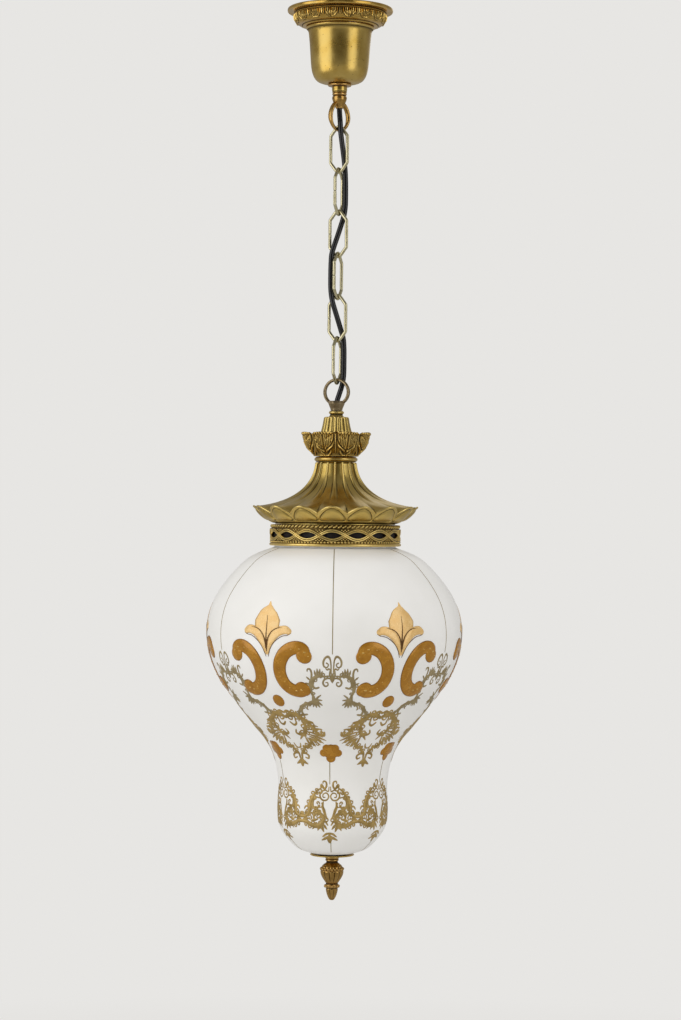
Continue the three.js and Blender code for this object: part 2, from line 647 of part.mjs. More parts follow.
// Open dish of eight leaves, notched between their tips.
function leafCrown() {
  const crest = [
    point(0, crownBottom), point(CROWN_FOOT_RADIUS, crownBottom),
    point(CROWN_RADIUS * 0.86, crownBottom + CROWN_HEIGHT * 0.38),
    point(CROWN_RADIUS * 0.96, crownBottom + CROWN_HEIGHT * 0.74),
    point(CROWN_RADIUS, crownTop), point(0, crownTop),
  ];
  const inward = [0, 0, 2.2, 2, 2.4, 0];
  const valley = crest.map((p, i) => point(p.x - inward[i], p.y));
  valley[4].y -= CROWN_NOTCH;
  const slope = [point(pipeHole, crownBottom), ...valley.slice(1, 5)];
  const inside = offset(slope, CROWN_WALL);
  const last = inside[inside.length - 1];
  const plug = turned([
    point(0, crownFloor), ...inside.slice(1), point(last.x + 1, crownTop + 2), point(0, crownTop + 2),
  ], MEDIUM_ROUND);
  return cut(lobed(crest, valley, CROWN_LEAVES, 5, CROWN_TURN), plug, cylinder(pipeHole, crownFloor + 1, crownBottom - 1));
}

// Half-round moulding between crown and bell.
function neckBead() {
  return turned([
    point(pipeHole, beadBottom), point(BEAD_RADIUS - 2, beadBottom), point(BEAD_RADIUS - 2, beadBottom + 0.8),
    point(BEAD_RADIUS, beadBottom + BEAD_HEIGHT * 0.4), point(BEAD_RADIUS, beadBottom + BEAD_HEIGHT * 0.65),
    point(BEAD_RADIUS - 1.6, beadTop), point(pipeHole, beadTop), point(pipeHole, beadBottom),
  ], MEDIUM_ROUND);
}

// Trumpet bell in stamped sheet: its lobes run out into petals whose undersides slope back to the foot.
function flutedBell() {
  const foot = GLASS_NECK_RADIUS + GLASS_NECK_CLEARANCE - GALLERY_SEAT;
  const flare = new THREE.CubicBezierCurve(
    point(BELL_RADIUS, bellTop - BELL_DEPTH), point(BELL_RADIUS * 0.488, bellTop - BELL_DEPTH * 0.9),
    point(BELL_TOP_RADIUS + 1.5, bellTop - BELL_DEPTH / 2), point(BELL_TOP_RADIUS, bellTop),
  ).getPoints(5);
  const under = [0.36, 0.72].map((t) => point(
    THREE.MathUtils.lerp(foot, BELL_RADIUS, t), bellFoot + PETAL_DEPTH * t - 2 * t * (1 - t),
  ));
  const crest = [
    point(foot, bellFoot), point(foot, bellFoot + 1), ...under, ...flare, point(pipeHole, bellTop),
  ];
  const share = [0, 0, 0.36, 0.72, 1, 0.55, 0.28, 0.15, 0.1, 0.07, 0];
  const dip = [0, 0, 0.36, 0.72, 1, 0.5, 0.2, 0, 0, 0, 0];
  const valley = crest.map((p, i) => point(p.x - PETAL_CUT * share[i], p.y - PETAL_DIP * dip[i]));
  const inner = offset(valley, BELL_WALL).filter((_, i) => i !== 1 && i !== 2 && i !== 3 && i !== 6 && i !== 8).reverse();
  const sheet = (line) => [...line, ...inner, line[0]];
  return lobed(sheet(crest), sheet(valley), PETALS, 4, PETAL_TURN);
}

// Ring round the glass neck, pierced with a row of almond-shaped eyes.
const galleryInner = GLASS_NECK_RADIUS + GLASS_NECK_CLEARANCE;
const galleryOuter = galleryInner + GALLERY_WALL;
function piercedGallery() {
  const flangeInner = galleryInner - GALLERY_SEAT - BELL_WALL;
  const ring = turned([
    point(galleryInner, galleryBottom), point(galleryOuter + 0.8, galleryBottom),
    point(galleryOuter + 0.8, galleryBottom + LIP_HEIGHT), point(galleryOuter, galleryBottom + LIP_HEIGHT + 0.5),
    point(galleryOuter, galleryTop - 3), point(galleryOuter - ROPE_BULGE, galleryTop - 3),
    point(galleryOuter, galleryTop - 1.5), point(galleryOuter - ROPE_BULGE, galleryTop),
    point(flangeInner, galleryTop), point(flangeInner, galleryTop - GALLERY_FLANGE),
    point(galleryInner, galleryTop - GALLERY_FLANGE), point(galleryInner, galleryBottom),
  ], 2 * EYES);
  const half = EYE_LENGTH / 2;
  const almond = new THREE.Shape().moveTo(-half, 0).quadraticCurveTo(0, EYE_HEIGHT, half, 0)
    .quadraticCurveTo(0, -EYE_HEIGHT, -half, 0);
  const middle = (galleryTop - 3 + galleryBottom + LIP_HEIGHT) / 2;
  const eyes = Array.from({ length: EYES }, (_, i) => solid(
    new THREE.ExtrudeGeometry(almond, { depth: 4 * GALLERY_WALL, bevelEnabled: false, curveSegments: 3 })
      .rotateX(Math.PI / 2).translate(0, 2 * GALLERY_WALL - galleryOuter, middle)
      .rotateZ(degrees(EYE_TURN + (360 * i) / EYES)),
  ));
  return cut(ring, ...eyes);
}

// Plate that the gallery hangs on, with vents for the bulbs' heat.
function galleryPlate() {
  const vents = Array.from({ length: VENTS }, (_, i) => {
    const angle = (2 * Math.PI * (i + 0.5)) / VENTS;
    return cylinder(VENT_RADIUS, plateTop + 1, plateBottom - 1, 8)
      .translate([VENT_CIRCLE * Math.cos(angle), VENT_CIRCLE * Math.sin(angle), 0]);
  });
  return cut(tube(galleryInner - 3 * GAP, pipeHole, plateTop, plateBottom, MEDIUM_ROUND), ...vents);
}

add('hanging_ring', hangingRing(), BRASS);
add('foot_bead', footBead(), BRASS);
add('fluted_cap', flutedCap(), BRASS);
add('leaf_crown', leafCrown(), BRASS);
add('neck_bead', neckBead(), BRASS);
add('fluted_bell', flutedBell(), BRASS);
add('pierced_gallery', piercedGallery(), BRASS);
add('gallery_plate', galleryPlate(), BRASS);
add('neck_gasket', tube(GLASS_NECK_RADIUS, GLASS_NECK_RADIUS - GLASS_WALL, gasketTop, gasketBottom, MEDIUM_ROUND), FELT);
add('stem_pipe', tube(PIPE_RADIUS, pipeBore, stemTop, stemBottom), STEEL);
add('stem_nut', nut(NUT_RADIUS, pipeHole, stemNutTop, stemNutBottom), STEEL);

// Open yoke that ties the stem to the rod and lets the leads out at its sides.
function rodYoke() {
  const middle = (yokeTop + yokeBottom) / 2;
  const frame = block(new THREE.Vector3(YOKE_WIDTH, BRACKET_WIDTH, YOKE_HEIGHT), new THREE.Vector3(0, 0, middle));
  const window = block(
    new THREE.Vector3(YOKE_WIDTH - 2 * YOKE_THICKNESS, BRACKET_WIDTH + 2, YOKE_HEIGHT - 2 * YOKE_THICKNESS),
    new THREE.Vector3(0, 0, middle),
  );
  return cut(
    frame, window, cylinder(pipeHole, yokeTop + 1, yokeTop - YOKE_THICKNESS - 1),
    cylinder(ROD_RADIUS + THREAD_GAP, yokeBottom + YOKE_THICKNESS + 1, yokeBottom - 1),
  );
}

function lampholderBracket() {
  const length = 2 * (HOLDER_OFFSET + BRACKET_OVERHANG);
  const plate = block(
    new THREE.Vector3(length, BRACKET_WIDTH, BRACKET_THICKNESS),
    new THREE.Vector3(0, 0, (bracketTop + bracketBottom) / 2),
  );
  const holes = [-1, 1].map((side) => cylinder(STUB_RADIUS + THREAD_GAP, bracketTop + 1, bracketBottom - 1)
    .translate([side * HOLDER_OFFSET, 0, 0]));
  return cut(plate, ...holes, cylinder(ROD_RADIUS + THREAD_GAP, bracketTop + 1, bracketBottom - 1));
}

add('rod_yoke', rodYoke(), STEEL);
add('lampholder_bracket', lampholderBracket(), STEEL);
add('rod_nut', nut(ROD_RADIUS * 2, ROD_RADIUS + THREAD_GAP, bracketBottom - GAP, bracketBottom - GAP - NUT_HEIGHT), STEEL);
add('centre_rod', cylinder(ROD_RADIUS, rodTop, rodBottom, 10), STEEL);

// Lampholder with its threaded stub above, screw shell and centre contact inside, and its bulb.
const shellOuter = BULB_CAP_RADIUS + GAP + SHELL_THICKNESS;
const contactTop = holderTop - HOLDER_TOP - GAP;
const contactBottom = contactTop - CONTACT_THICKNESS;
const bulbCapTop = contactBottom - GAP;
const bulbCapBottom = bulbCapTop - BULB_CAP_LENGTH;
const bulbTop = bulbCapBottom - GAP;
const bulbBottom = bulbTop - BULB_LENGTH;

function lampholder() {
  const stubTop = bracketTop + STUB_HEIGHT;
  const outside = turned([
    point(0, holderBottom), point(HOLDER_RADIUS - 1.5, holderBottom), point(HOLDER_RADIUS, holderBottom + 3),
    point(HOLDER_RADIUS, holderTop - 6), point(HOLDER_RADIUS - 3, holderTop), point(STUB_RADIUS, holderTop),
    point(STUB_RADIUS, stubTop), point(0, stubTop),
  ], SMALL_ROUND);
  return cut(
    outside, cylinder(shellOuter + GAP, holderTop - HOLDER_TOP, holderBottom - 1),
    cylinder(2 * CORE_RADIUS, stubTop + 1, holderTop - HOLDER_TOP - 1, 8),
  );
}

function bulbGlass() {
  const neck = BULB_CAP_RADIUS + 1;
  const line = new THREE.Path();
  line.moveTo(0.01, bulbBottom);
  line.bezierCurveTo(
    BULB_RADIUS * 1.3, bulbBottom, BULB_RADIUS * 1.3, bulbBottom + BULB_LENGTH * 0.75, neck, bulbTop - 5,
  );
  line.lineTo(neck, bulbTop);
  const outside = line.getPoints(6);
  const inside = offset(outside, BULB_WALL).reverse();
  inside[inside.length - 1].x = 0;
  outside[0].x = 0;
  return turned([...outside, ...inside], SMALL_ROUND);
}

function bulbCap() {
  const wall = 1.2;
  return turned([
    point(0, bulbCapTop), point(CONTACT_RADIUS, bulbCapTop), point(CONTACT_RADIUS, bulbCapTop - 1.5),
    point(BULB_CAP_RADIUS, bulbCapTop - 4), point(BULB_CAP_RADIUS, bulbCapBottom),
    point(BULB_CAP_RADIUS - wall, bulbCapBottom), point(BULB_CAP_RADIUS - wall, bulbCapTop - 5),
    point(0, bulbCapTop - 5),
  ].reverse(), SMALL_ROUND);
}

for (const [tag, side] of [['a', -1], ['b', 1]]) {
  const place = [side * HOLDER_OFFSET, 0, 0];
  add(`lampholder_${tag}`, lampholder().translate(place), PORCELAIN);
  add(`holder_nut_${tag}`, nut(NUT_RADIUS, STUB_RADIUS + THREAD_GAP, bracketTop + GAP + NUT_HEIGHT, bracketTop + GAP)
    .translate(place), STEEL);
  add(`screw_shell_${tag}`, tube(shellOuter, shellOuter - SHELL_THICKNESS, contactBottom - 2, contactBottom - 2 - SHELL_LENGTH)
    .translate(place), BRASS);
  add(`centre_contact_${tag}`, cylinder(CONTACT_RADIUS, contactTop, contactBottom, 8).translate(place), BRASS);
  const stubMouth = bracketTop + STUB_HEIGHT + GAP;
  const window = yokeTop - YOKE_THICKNESS;
  add(`holder_lead_${tag}`, bar(new THREE.CatmullRomCurve3([
    [side * 1.4, 0, window - 8], [side * 1.6, side * 4, window - 13], [side * 5, side * 13, window - 15],
    [side * 20, side * 15, window - 10], [side * (HOLDER_OFFSET - 3), side * 6, stubMouth + 9],
    [side * HOLDER_OFFSET, 0, stubMouth + 4], [side * HOLDER_OFFSET, 0, stubMouth],
  ].map((p) => new THREE.Vector3(...p))), CORE_RADIUS, 12), PORCELAIN);
  add(`bulb_cap_${tag}`, bulbCap().translate(place), BRASS);
  add(`bulb_glass_${tag}`, bulbGlass().translate(place), CLEAR);
}

// Opal glass: a straight neck in the gallery, a wide belly and a narrow waist above a rounded foot.
function glassShade() {
  const outline = new THREE.SplineCurve([
    [GLASS_FOOT_RADIUS, 1], [0.65 * WAIST_RADIUS, 0.976], [0.94 * WAIST_RADIUS, 0.923], [WAIST_RADIUS, 0.86],
    [WAIST_RADIUS, 0.755], [1.15 * WAIST_RADIUS, 0.655], [0.678 * BELLY_RADIUS, 0.557],
    [0.9 * BELLY_RADIUS, 0.429], [BELLY_RADIUS, 0.3], [0.945 * BELLY_RADIUS, 0.17],
    [0.71 * BELLY_RADIUS, 0.047], [GLASS_NECK_RADIUS, 0],
  ].map(([r, share]) => point(r, glassShoulder - share * GLASS_HEIGHT)));
  const outside = [
    point(ROD_RADIUS + ROD_HOLE_CLEARANCE, glassFoot), ...outline.getPoints(16), point(GLASS_NECK_RADIUS, glassRim),
  ];
  return shell(outside, GLASS_WALL, LARGE_ROUND);
}

// Shallow brass disc under the glass.
function bottomDisc() {
  return turned([
    point(ROD_RADIUS + THREAD_GAP, discBottom), point(FINIAL_COLLAR_RADIUS + 2, discBottom),
    point(DISC_RADIUS, discBottom + 1), point(DISC_RADIUS, discTop), point(DISC_RADIUS - 2, discTop),
    point(ROD_RADIUS + THREAD_GAP, discTop), point(ROD_RADIUS + THREAD_GAP, discBottom),
  ], MEDIUM_ROUND);
}

// Turned finial: a collar, a lobed bulb, a bead and a bud that runs to a point.
function finial() {
  const at = (r, share) => point(r, finialTop - share * FINIAL_LENGTH);
  const neck = 0.48 * FINIAL_RADIUS;
  const crest = [
    at(0, 1), at(0.28 * FINIAL_RADIUS, 0.88), at(neck, 0.755), at(FINIAL_BEAD_RADIUS, 0.69),
    at(FINIAL_BEAD_RADIUS, 0.65), at(neck, 0.59), at(0.55 * FINIAL_RADIUS, 0.5), at(0.93 * FINIAL_RADIUS, 0.35),
    at(FINIAL_RADIUS, 0.27), at(0.78 * FINIAL_RADIUS, 0.18), at(FINIAL_COLLAR_RADIUS, 0.115),
    at(FINIAL_COLLAR_RADIUS, 0), at(0, 0),
  ];
  const depth = [0, 0, 0, 0, 0, 0, 0.5, 1, 1.2, 0.6, 0, 0, 0];
  const valley = crest.map((p, i) => point(p.x - depth[i], p.y));
  return cut(lobed(crest, valley, FINIAL_LOBES, 2), cylinder(ROD_RADIUS + THREAD_GAP, finialTop + 1, finialTop - FINIAL_BORE, 10));
}

add('glass_shade', glassShade(), OPAL);
add('bottom_gasket', tube(FELT_RADIUS, ROD_RADIUS + ROD_HOLE_CLEARANCE, feltTop, feltBottom, MEDIUM_ROUND), FELT);
add('bottom_disc', bottomDisc(), BRASS);
add('finial', finial(), BRASS);

export default lamp;
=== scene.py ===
# %% [markdown]
# # A pendant lamp in opal glass and brass
# The lamp hangs from a ceiling rose on six long links, with the flex woven through them. A fluted brass
# head carries a baluster-shaped glass with gilt transfers and raised enamel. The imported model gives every
# place and size; this file builds the finished surfaces round it, one piece at a time.

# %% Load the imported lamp
import json
import math

import bmesh
import bpy
import numpy as np
from mathutils import Matrix, Vector


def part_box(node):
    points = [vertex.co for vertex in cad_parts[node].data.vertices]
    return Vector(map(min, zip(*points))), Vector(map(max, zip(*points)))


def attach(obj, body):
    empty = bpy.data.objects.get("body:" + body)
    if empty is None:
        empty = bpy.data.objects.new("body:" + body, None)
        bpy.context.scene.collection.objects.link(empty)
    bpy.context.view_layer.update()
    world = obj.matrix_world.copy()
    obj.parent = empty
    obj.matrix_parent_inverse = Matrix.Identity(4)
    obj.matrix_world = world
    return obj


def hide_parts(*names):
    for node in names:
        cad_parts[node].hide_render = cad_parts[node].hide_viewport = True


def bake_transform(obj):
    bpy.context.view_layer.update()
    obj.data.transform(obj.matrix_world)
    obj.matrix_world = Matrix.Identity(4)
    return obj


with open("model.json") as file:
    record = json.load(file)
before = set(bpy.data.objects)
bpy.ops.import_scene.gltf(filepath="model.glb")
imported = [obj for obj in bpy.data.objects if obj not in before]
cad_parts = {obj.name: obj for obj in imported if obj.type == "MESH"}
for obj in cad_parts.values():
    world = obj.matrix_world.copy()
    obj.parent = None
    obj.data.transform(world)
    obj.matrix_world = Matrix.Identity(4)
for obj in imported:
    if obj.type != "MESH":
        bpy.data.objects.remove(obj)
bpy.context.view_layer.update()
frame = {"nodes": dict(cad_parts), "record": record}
MM = 0.001

# %% [markdown]
# ## The camera
# A view is easiest to judge against a picture when the camera stands where the photographer stood. The
# rings of the lamp look flat at eye level and bulge above or below it, which gives the camera's height.
# How fast they open gives its distance. A slight roll brings the lamp's axis to its place.

# %% Place the camera
DISTANCE = 2.88
FOCAL_PIXELS = DISTANCE * 1000 / 1.1  # a pixel of the picture, 681 by 1020, is 1.1 mm at the lamp's axis
PICTURE_HEIGHT = 1020
SENSOR = 36
EYE = Vector((0.0055, -DISTANCE, -0.5511))
ROLL = math.radians(0.56)


def new_object(name, data):
    made = bpy.data.objects.new(name, data)
    bpy.context.scene.collection.objects.link(made)
    return made


camera = new_object("photo_camera", bpy.data.cameras.new("photo_camera"))
camera.data.sensor_width = SENSOR
camera.data.lens = SENSOR * FOCAL_PIXELS / PICTURE_HEIGHT
aim = Matrix.Rotation(math.pi / 2, 4, "X") @ Matrix.Rotation(ROLL, 4, "Z")
camera.matrix_world = Matrix.Translation(EYE) @ aim
bpy.context.scene.camera = camera
print("Camera lens:", round(camera.data.lens, 1), "mm")

# %% [markdown]
# ## Node helpers
# A node tree is easier to read when each node is one line. These helpers add a node, set its own fields,
# and fill each input with a number, a colour or another node's output.

# %% Helpers for nodes and materials
def fill(tree, node, inputs):
    for name, value in inputs.items():
        socket = node.inputs[name]
        if isinstance(value, bpy.types.NodeSocket):
            tree.links.new(value, socket)
        else:
            socket.default_value = (*value, 1) if socket.type == "RGBA" else value


def add_node(tree, kind, inputs=None, **settings):
    made = tree.nodes.new(kind)
    for name, value in settings.items():
        setattr(made, name, value)
    fill(tree, made, inputs or {})
    return made


def calculate(tree, operation, *values):
    """One Math node on one, two or three values."""
    return add_node(tree, "ShaderNodeMath", dict(enumerate(values)), operation=operation).outputs[0]


def between(tree, value, low, high, to_low=0.0, to_high=1.0):
    """Spreads a value from low...high over to_low...to_high, held at both ends."""
    inputs = {"Value": value, "From Min": low, "From Max": high, "To Min": to_low, "To Max": to_high}
    return add_node(tree, "ShaderNodeMapRange", inputs, clamp=True).outputs[0]


def mix_colours(tree, share, first, second):
    inputs = {0: share, 6: first, 7: second}
    return add_node(tree, "ShaderNodeMix", inputs, data_type="RGBA").outputs[2]


def noise(tree, place, scale, detail=2.0, roughness=0.5):
    inputs = {"Vector": place, "Scale": scale, "Detail": detail, "Roughness": roughness}
    return add_node(tree, "ShaderNodeTexNoise", inputs).outputs["Fac"]


def object_place(tree):
    return add_node(tree, "ShaderNodeTexCoord").outputs["Object"]


def stored(tree, name):
    """A value that the mesh keeps at each point."""
    return add_node(tree, "ShaderNodeAttribute", attribute_name=name).outputs["Fac"]


def bump(tree, height, strength, distance):
    inputs = {"Height": height, "Strength": strength, "Distance": distance}
    return add_node(tree, "ShaderNodeBump", inputs).outputs[0]


def new_material(name):
    """A material, its node tree and its shader node."""
    material = bpy.data.materials.new(name)
    material.use_nodes = True
    return material, material.node_tree, material.node_tree.nodes["Principled BSDF"]


# %% [markdown]
# ## Floor, backdrop and light
# A hanging lamp has only the floor far below it. The floor fades into the pale background with distance,
# so that no horizon cuts through the picture, and from under it one sees straight through. Two tall soft
# lights stand left and right of the camera, because that is where the two bright stripes on the polished
# cup come from, and a weak one lifts the back.

# %% Build the stage
BACKGROUND = (0.80, 0.79, 0.77)
FLOOR_HEIGHT = -1.55
FLOOR_HALF = 12
SKY = 0.88  # how strongly the background lights the lamp's matt surfaces
LAMP_MIDDLE = Vector((0, 0, -0.5))


def build_world():
    world = bpy.data.worlds.new("studio")
    bpy.context.scene.world = world
    world.use_nodes = True
    tree = world.node_tree
    tree.nodes.clear()
    direction = add_node(tree, "ShaderNodeTexCoord").outputs["Generated"]
    towards_back = add_node(tree, "ShaderNodeSeparateXYZ", {0: direction}).outputs["Y"]
    path = add_node(tree, "ShaderNodeLightPath")
    seen = calculate(tree, "MAXIMUM", path.outputs["Is Camera Ray"], path.outputs["Is Transmission Ray"])
    plain = between(tree, seen, 0, 1, SKY, 1)
    mirrored = between(tree, towards_back, -0.95, 0.3, 0.09, 0.38)
    strength = add_node(tree, "ShaderNodeMix",
                        {0: path.outputs["Is Glossy Ray"], 2: plain, 3: mirrored}).outputs[0]
    background = add_node(tree, "ShaderNodeBackground", {"Color": BACKGROUND, "Strength": strength})
    add_node(tree, "ShaderNodeOutputWorld", {"Surface": background.outputs[0]})


def build_floor():
    corners = [(x * FLOOR_HALF, y * FLOOR_HALF, FLOOR_HEIGHT) for x,
               y in ((-1, -1), (1, -1), (1, 1), (-1, 1))]
    mesh = bpy.data.meshes.new("floor")
    mesh.from_pydata(corners, [], [(0, 1, 2, 3)])
    floor = new_object("floor", mesh)
    material, tree, _ = new_material("pale floor")
    tree.nodes.clear()
    place = object_place(tree)
    flat = add_node(tree, "ShaderNodeVectorMath", {0: place, 1: (1, 1, 0)}, operation="MULTIPLY").outputs[0]
    distance = add_node(tree, "ShaderNodeVectorMath", {0: flat}, operation="LENGTH").outputs["Value"]
    matt = add_node(tree, "ShaderNodeBsdfDiffuse", {"Color": BACKGROUND})
    path = add_node(tree, "ShaderNodeLightPath")
    bounced = calculate(tree, "MAXIMUM", path.outputs["Is Glossy Ray"], path.outputs["Is Diffuse Ray"])
    glow = between(tree, bounced, 0, 1, 1, 0.5)
    haze = add_node(tree, "ShaderNodeEmission", {"Color": BACKGROUND, "Strength": glow})
    mirrored = calculate(tree, "MAXIMUM", path.outputs["Is Glossy Ray"],
                         path.outputs["Is Transmission Ray"])
    fade = calculate(tree, "MAXIMUM", between(tree, distance, 0.5, 2.5), mirrored)
    surface = add_node(tree, "ShaderNodeMixShader", {0: fade, 1: matt.outputs[0], 2: haze.outputs[0]})
    from_under = add_node(tree, "ShaderNodeNewGeometry").outputs["Backfacing"]
    clear = add_node(tree, "ShaderNodeBsdfTransparent")
    one_way = add_node(tree, "ShaderNodeMixShader",
                       {0: from_under, 1: surface.outputs[0], 2: clear.outputs[0]})
    add_node(tree, "ShaderNodeOutputMaterial", {"Surface": one_way.outputs[0]})
    mesh.materials.append(material)


def soft_light(name, angle, distance, height, width, tall, radiance):
    """A rectangular light that faces the lamp. angle is in degrees from the camera's side, to the right."""
    data = bpy.data.lights.new(name, "AREA")
    data.shape = "RECTANGLE"
    data.size, data.size_y = width, tall
    data.energy = radiance * math.pi * width * tall
    light = new_object(name, data)
    turn = math.radians(angle)
    light.location = (distance * math.sin(turn), -distance * math.cos(turn), height)
    light.rotation_euler = (LAMP_MIDDLE - light.location).to_track_quat("-Z", "Y").to_euler()
    light.visible_camera = False


build_world()
build_floor()
soft_light("left_window", -60, 2.4, 0.0, 2.3, 2.8, 1.4)
soft_light("right_window", 50, 2.4, 0.1, 1.4, 2.6, 1.3)
soft_light("back_light", 165, 2.2, 0.6, 1.2, 1.2, 0.5)
bpy.context.scene.view_settings.view_transform = "Standard"
print("Stage: floor, world and three soft lights")

# %% [markdown]
# ## Shared marks of wear, patina and light
# Brass in a hollow keeps its brown film, and brass on an edge is rubbed bright. The same masks also paint
# shade into hollows and folds, and a highlight onto edges. Each piece stores how hollow it is at every point
# in an attribute. This group turns that, with some cloudiness and specks, into masks that every metal of the
# lamp uses with values of its own.

# %% Build the group for marks of wear, patina, painted shade and painted highlight
def shader_group(name, inputs, outputs):
    tree = bpy.data.node_groups.new(name, "ShaderNodeTree")
    for label, value in inputs.items():
        tree.interface.new_socket(name=label, in_out="INPUT",
                                  socket_type="NodeSocketFloat").default_value = value
    for label in outputs:
        tree.interface.new_socket(name=label, in_out="OUTPUT", socket_type="NodeSocketFloat")
    return tree, tree.nodes.new("NodeGroupInput").outputs, tree.nodes.new("NodeGroupOutput").inputs


def build_wear_and_light_marks():
    defaults = {"Patch Scale": 60, "Grime": 1, "Rub": 1, "Specks": 0.5, "Dents": 0.5}
    tree, given, result = shader_group("wear, patina and light marks", defaults, ["Grime", "Rub", "Patch", "Height"])
    place = object_place(tree)
    hollow = stored(tree, "hollow")
    patch = noise(tree, place, given["Patch Scale"], 3)
    fine_scale = calculate(tree, "MULTIPLY", given["Patch Scale"], 11)
    fine = noise(tree, place, fine_scale, 4, 0.65)
    speck_scale = calculate(tree, "MULTIPLY", given["Patch Scale"], 6.3)
    speck = between(tree, noise(tree, place, speck_scale, 1), 0.70, 0.78)
    # Darkening in hollows: partly the brown patina of old brass, partly painted shade.
    crevice_film_and_shade = calculate(tree, "MULTIPLY", between(tree, hollow, 0.03, 0.34), given["Grime"])
    film = calculate(tree, "MULTIPLY", between(tree, patch, 0.5, 0.8, 0, 0.2), given["Grime"])
    spots = calculate(tree, "MULTIPLY", speck, given["Specks"])
    grime = calculate(tree, "ADD", calculate(tree, "ADD", crevice_film_and_shade, film), spots)
    # Paler edges: partly rubbed wear, partly a painted highlight.
    worn_and_lit_edge = calculate(tree, "MULTIPLY", between(tree, hollow, -0.06, -0.5), given["Rub"])
    rub = calculate(tree, "MULTIPLY", worn_and_lit_edge, between(tree, fine, 0.3, 0.6, 0.5, 1))
    dents = calculate(tree, "MULTIPLY", patch, given["Dents"])
    height = calculate(tree, "ADD", dents, calculate(tree, "MULTIPLY", fine, 0.12))
    for name, value in (("Grime", grime), ("Rub", rub), ("Patch", patch), ("Height", height)):
        tree.links.new(value, result[name])
    return tree


wear_and_light_marks = build_wear_and_light_marks()
print("Group:", wear_and_light_marks.name)

# %% [markdown]
# ## The metals
# All the brass is one alloy in several finishes: the spun cup is polished, the cast crown is dark in its
# folds with patina and painted shade, the chain is pale and softly hammered. One function makes them, so
# that they belong together.

# %% Make the metals
def metal(name, bright, deep, film, polish, **marks):
    """A metal with cloudy colour from bright to deep, brown film and painted shade in its hollows, and edges
    pale from wear and a painted highlight.
    """
    material, tree, shader = new_material(name)
    wear_and_light = add_node(tree, "ShaderNodeGroup", node_tree=wear_and_light_marks)
    for label, value in marks.items():
        wear_and_light.inputs[label.replace("_", " ").title()].default_value = value
    base = mix_colours(tree, between(tree, wear_and_light.outputs["Patch"], 0.3, 0.7), deep, bright)
    pale = tuple(min(1, 0.06 + 1.35 * c) for c in bright)
    edge = mix_colours(tree, calculate(tree, "MULTIPLY", wear_and_light.outputs["Rub"], 0.55), base, pale)
    soiled_and_shaded = mix_colours(tree, calculate(tree, "MINIMUM", wear_and_light.outputs["Grime"], 0.92), edge, film)
    dull = between(tree, wear_and_light.outputs["Grime"], 0, 1, polish, min(polish + 0.4, 0.9))
    sheen = calculate(tree, "ADD", dull, between(tree, wear_and_light.outputs["Patch"], 0.35, 0.75, 0, 0.06))
    fill(tree, shader, {
        "Base Color": soiled_and_shaded, "Roughness": sheen,
        "Metallic": between(tree, wear_and_light.outputs["Grime"], 0, 1, 1, 0.75),
        "Normal": bump(tree, wear_and_light.outputs["Height"], 0.25, 0.0004),
    })
    return material


# The film colour darkens the hollows: brown patina and painted shade together.
BROWN_FILM_AND_SHADE = (0.036, 0.023, 0.007)
polished_brass = metal("polished brass", (0.70, 0.505, 0.155), (0.51, 0.33, 0.07), BROWN_FILM_AND_SHADE, 0.27,
                       grime=0.8, rub=0.5, specks=0.6, patch_scale=55, dents=0.9)
stamped_brass = metal("stamped brass", (0.70, 0.52, 0.165), (0.49, 0.34, 0.085), BROWN_FILM_AND_SHADE, 0.31,
                      grime=1.6, rub=1.4, specks=0.2, patch_scale=70, dents=0.4)
cast_brass = metal("cast brass", (0.74, 0.49, 0.13), (0.46, 0.26, 0.04), BROWN_FILM_AND_SHADE, 0.22,
                   grime=1.9, rub=1.3, specks=0.5, patch_scale=110, dents=0.8)
gilt_brass = metal("gilt brass", (0.58, 0.35, 0.10), (0.28, 0.15, 0.027), (0.04, 0.018, 0.004), 0.2,
                   grime=2.2, rub=1.3, specks=0.3, patch_scale=140, dents=0.6)
aged_bronze = metal("aged bronze", (0.42, 0.33, 0.2), (0.22, 0.155, 0.07), (0.03, 0.018, 0.008), 0.25,
                    grime=1.3, rub=0.8, specks=0.6, patch_scale=150, dents=1.2)
# The gallery ring is darkened brass, made darker still as painted shade behind the woven wires.
darkened_and_shaded_brass = metal("darkened brass and painted shade", (0.2, 0.135, 0.04), (0.085, 0.05, 0.014), (0.02, 0.011, 0.003), 0.36,
                   grime=1.3, rub=0.6, specks=0.6, patch_scale=170, dents=1.0)
chain_brass = metal("pale chain brass", (0.80, 0.71, 0.46), (0.50, 0.41, 0.22), (0.05, 0.035, 0.016), 0.2,
                    grime=1.3, rub=0.8, specks=1.2, patch_scale=170, dents=1.6)
plated_steel = metal("plated steel", (0.62, 0.62, 0.61), (0.42, 0.41, 0.40), (0.10, 0.08, 0.06), 0.34,
                     grime=0.8, rub=0.5, specks=0.6, patch_scale=180, dents=0.6)

# %% [markdown]
# ## Making a turned piece
# Most of the lamp was turned or spun on a lathe. A closed line of radii and heights goes round the axis.
# Ornament is cut in afterwards on the real thing, so here a relief function moves each point along the
# surface's own direction, in or out.

# %% Lathe tools
def below(top, points):
    """(radius, depth) points in millimetres under a height, as (radius, height) points in metres."""
    return np.array([(radius * MM, top - depth * MM) for radius, depth in points])


def soften(line, rounds=2):
    """Cuts the corners of a closed line again and again, so that they come out round."""
    for _ in range(rounds):
        after = np.roll(line, -1, axis=0)
        line = np.stack([0.75 * line + 0.25 * after, 0.25 * line + 0.75 * after], axis=1).reshape(-1, 2)
    return line


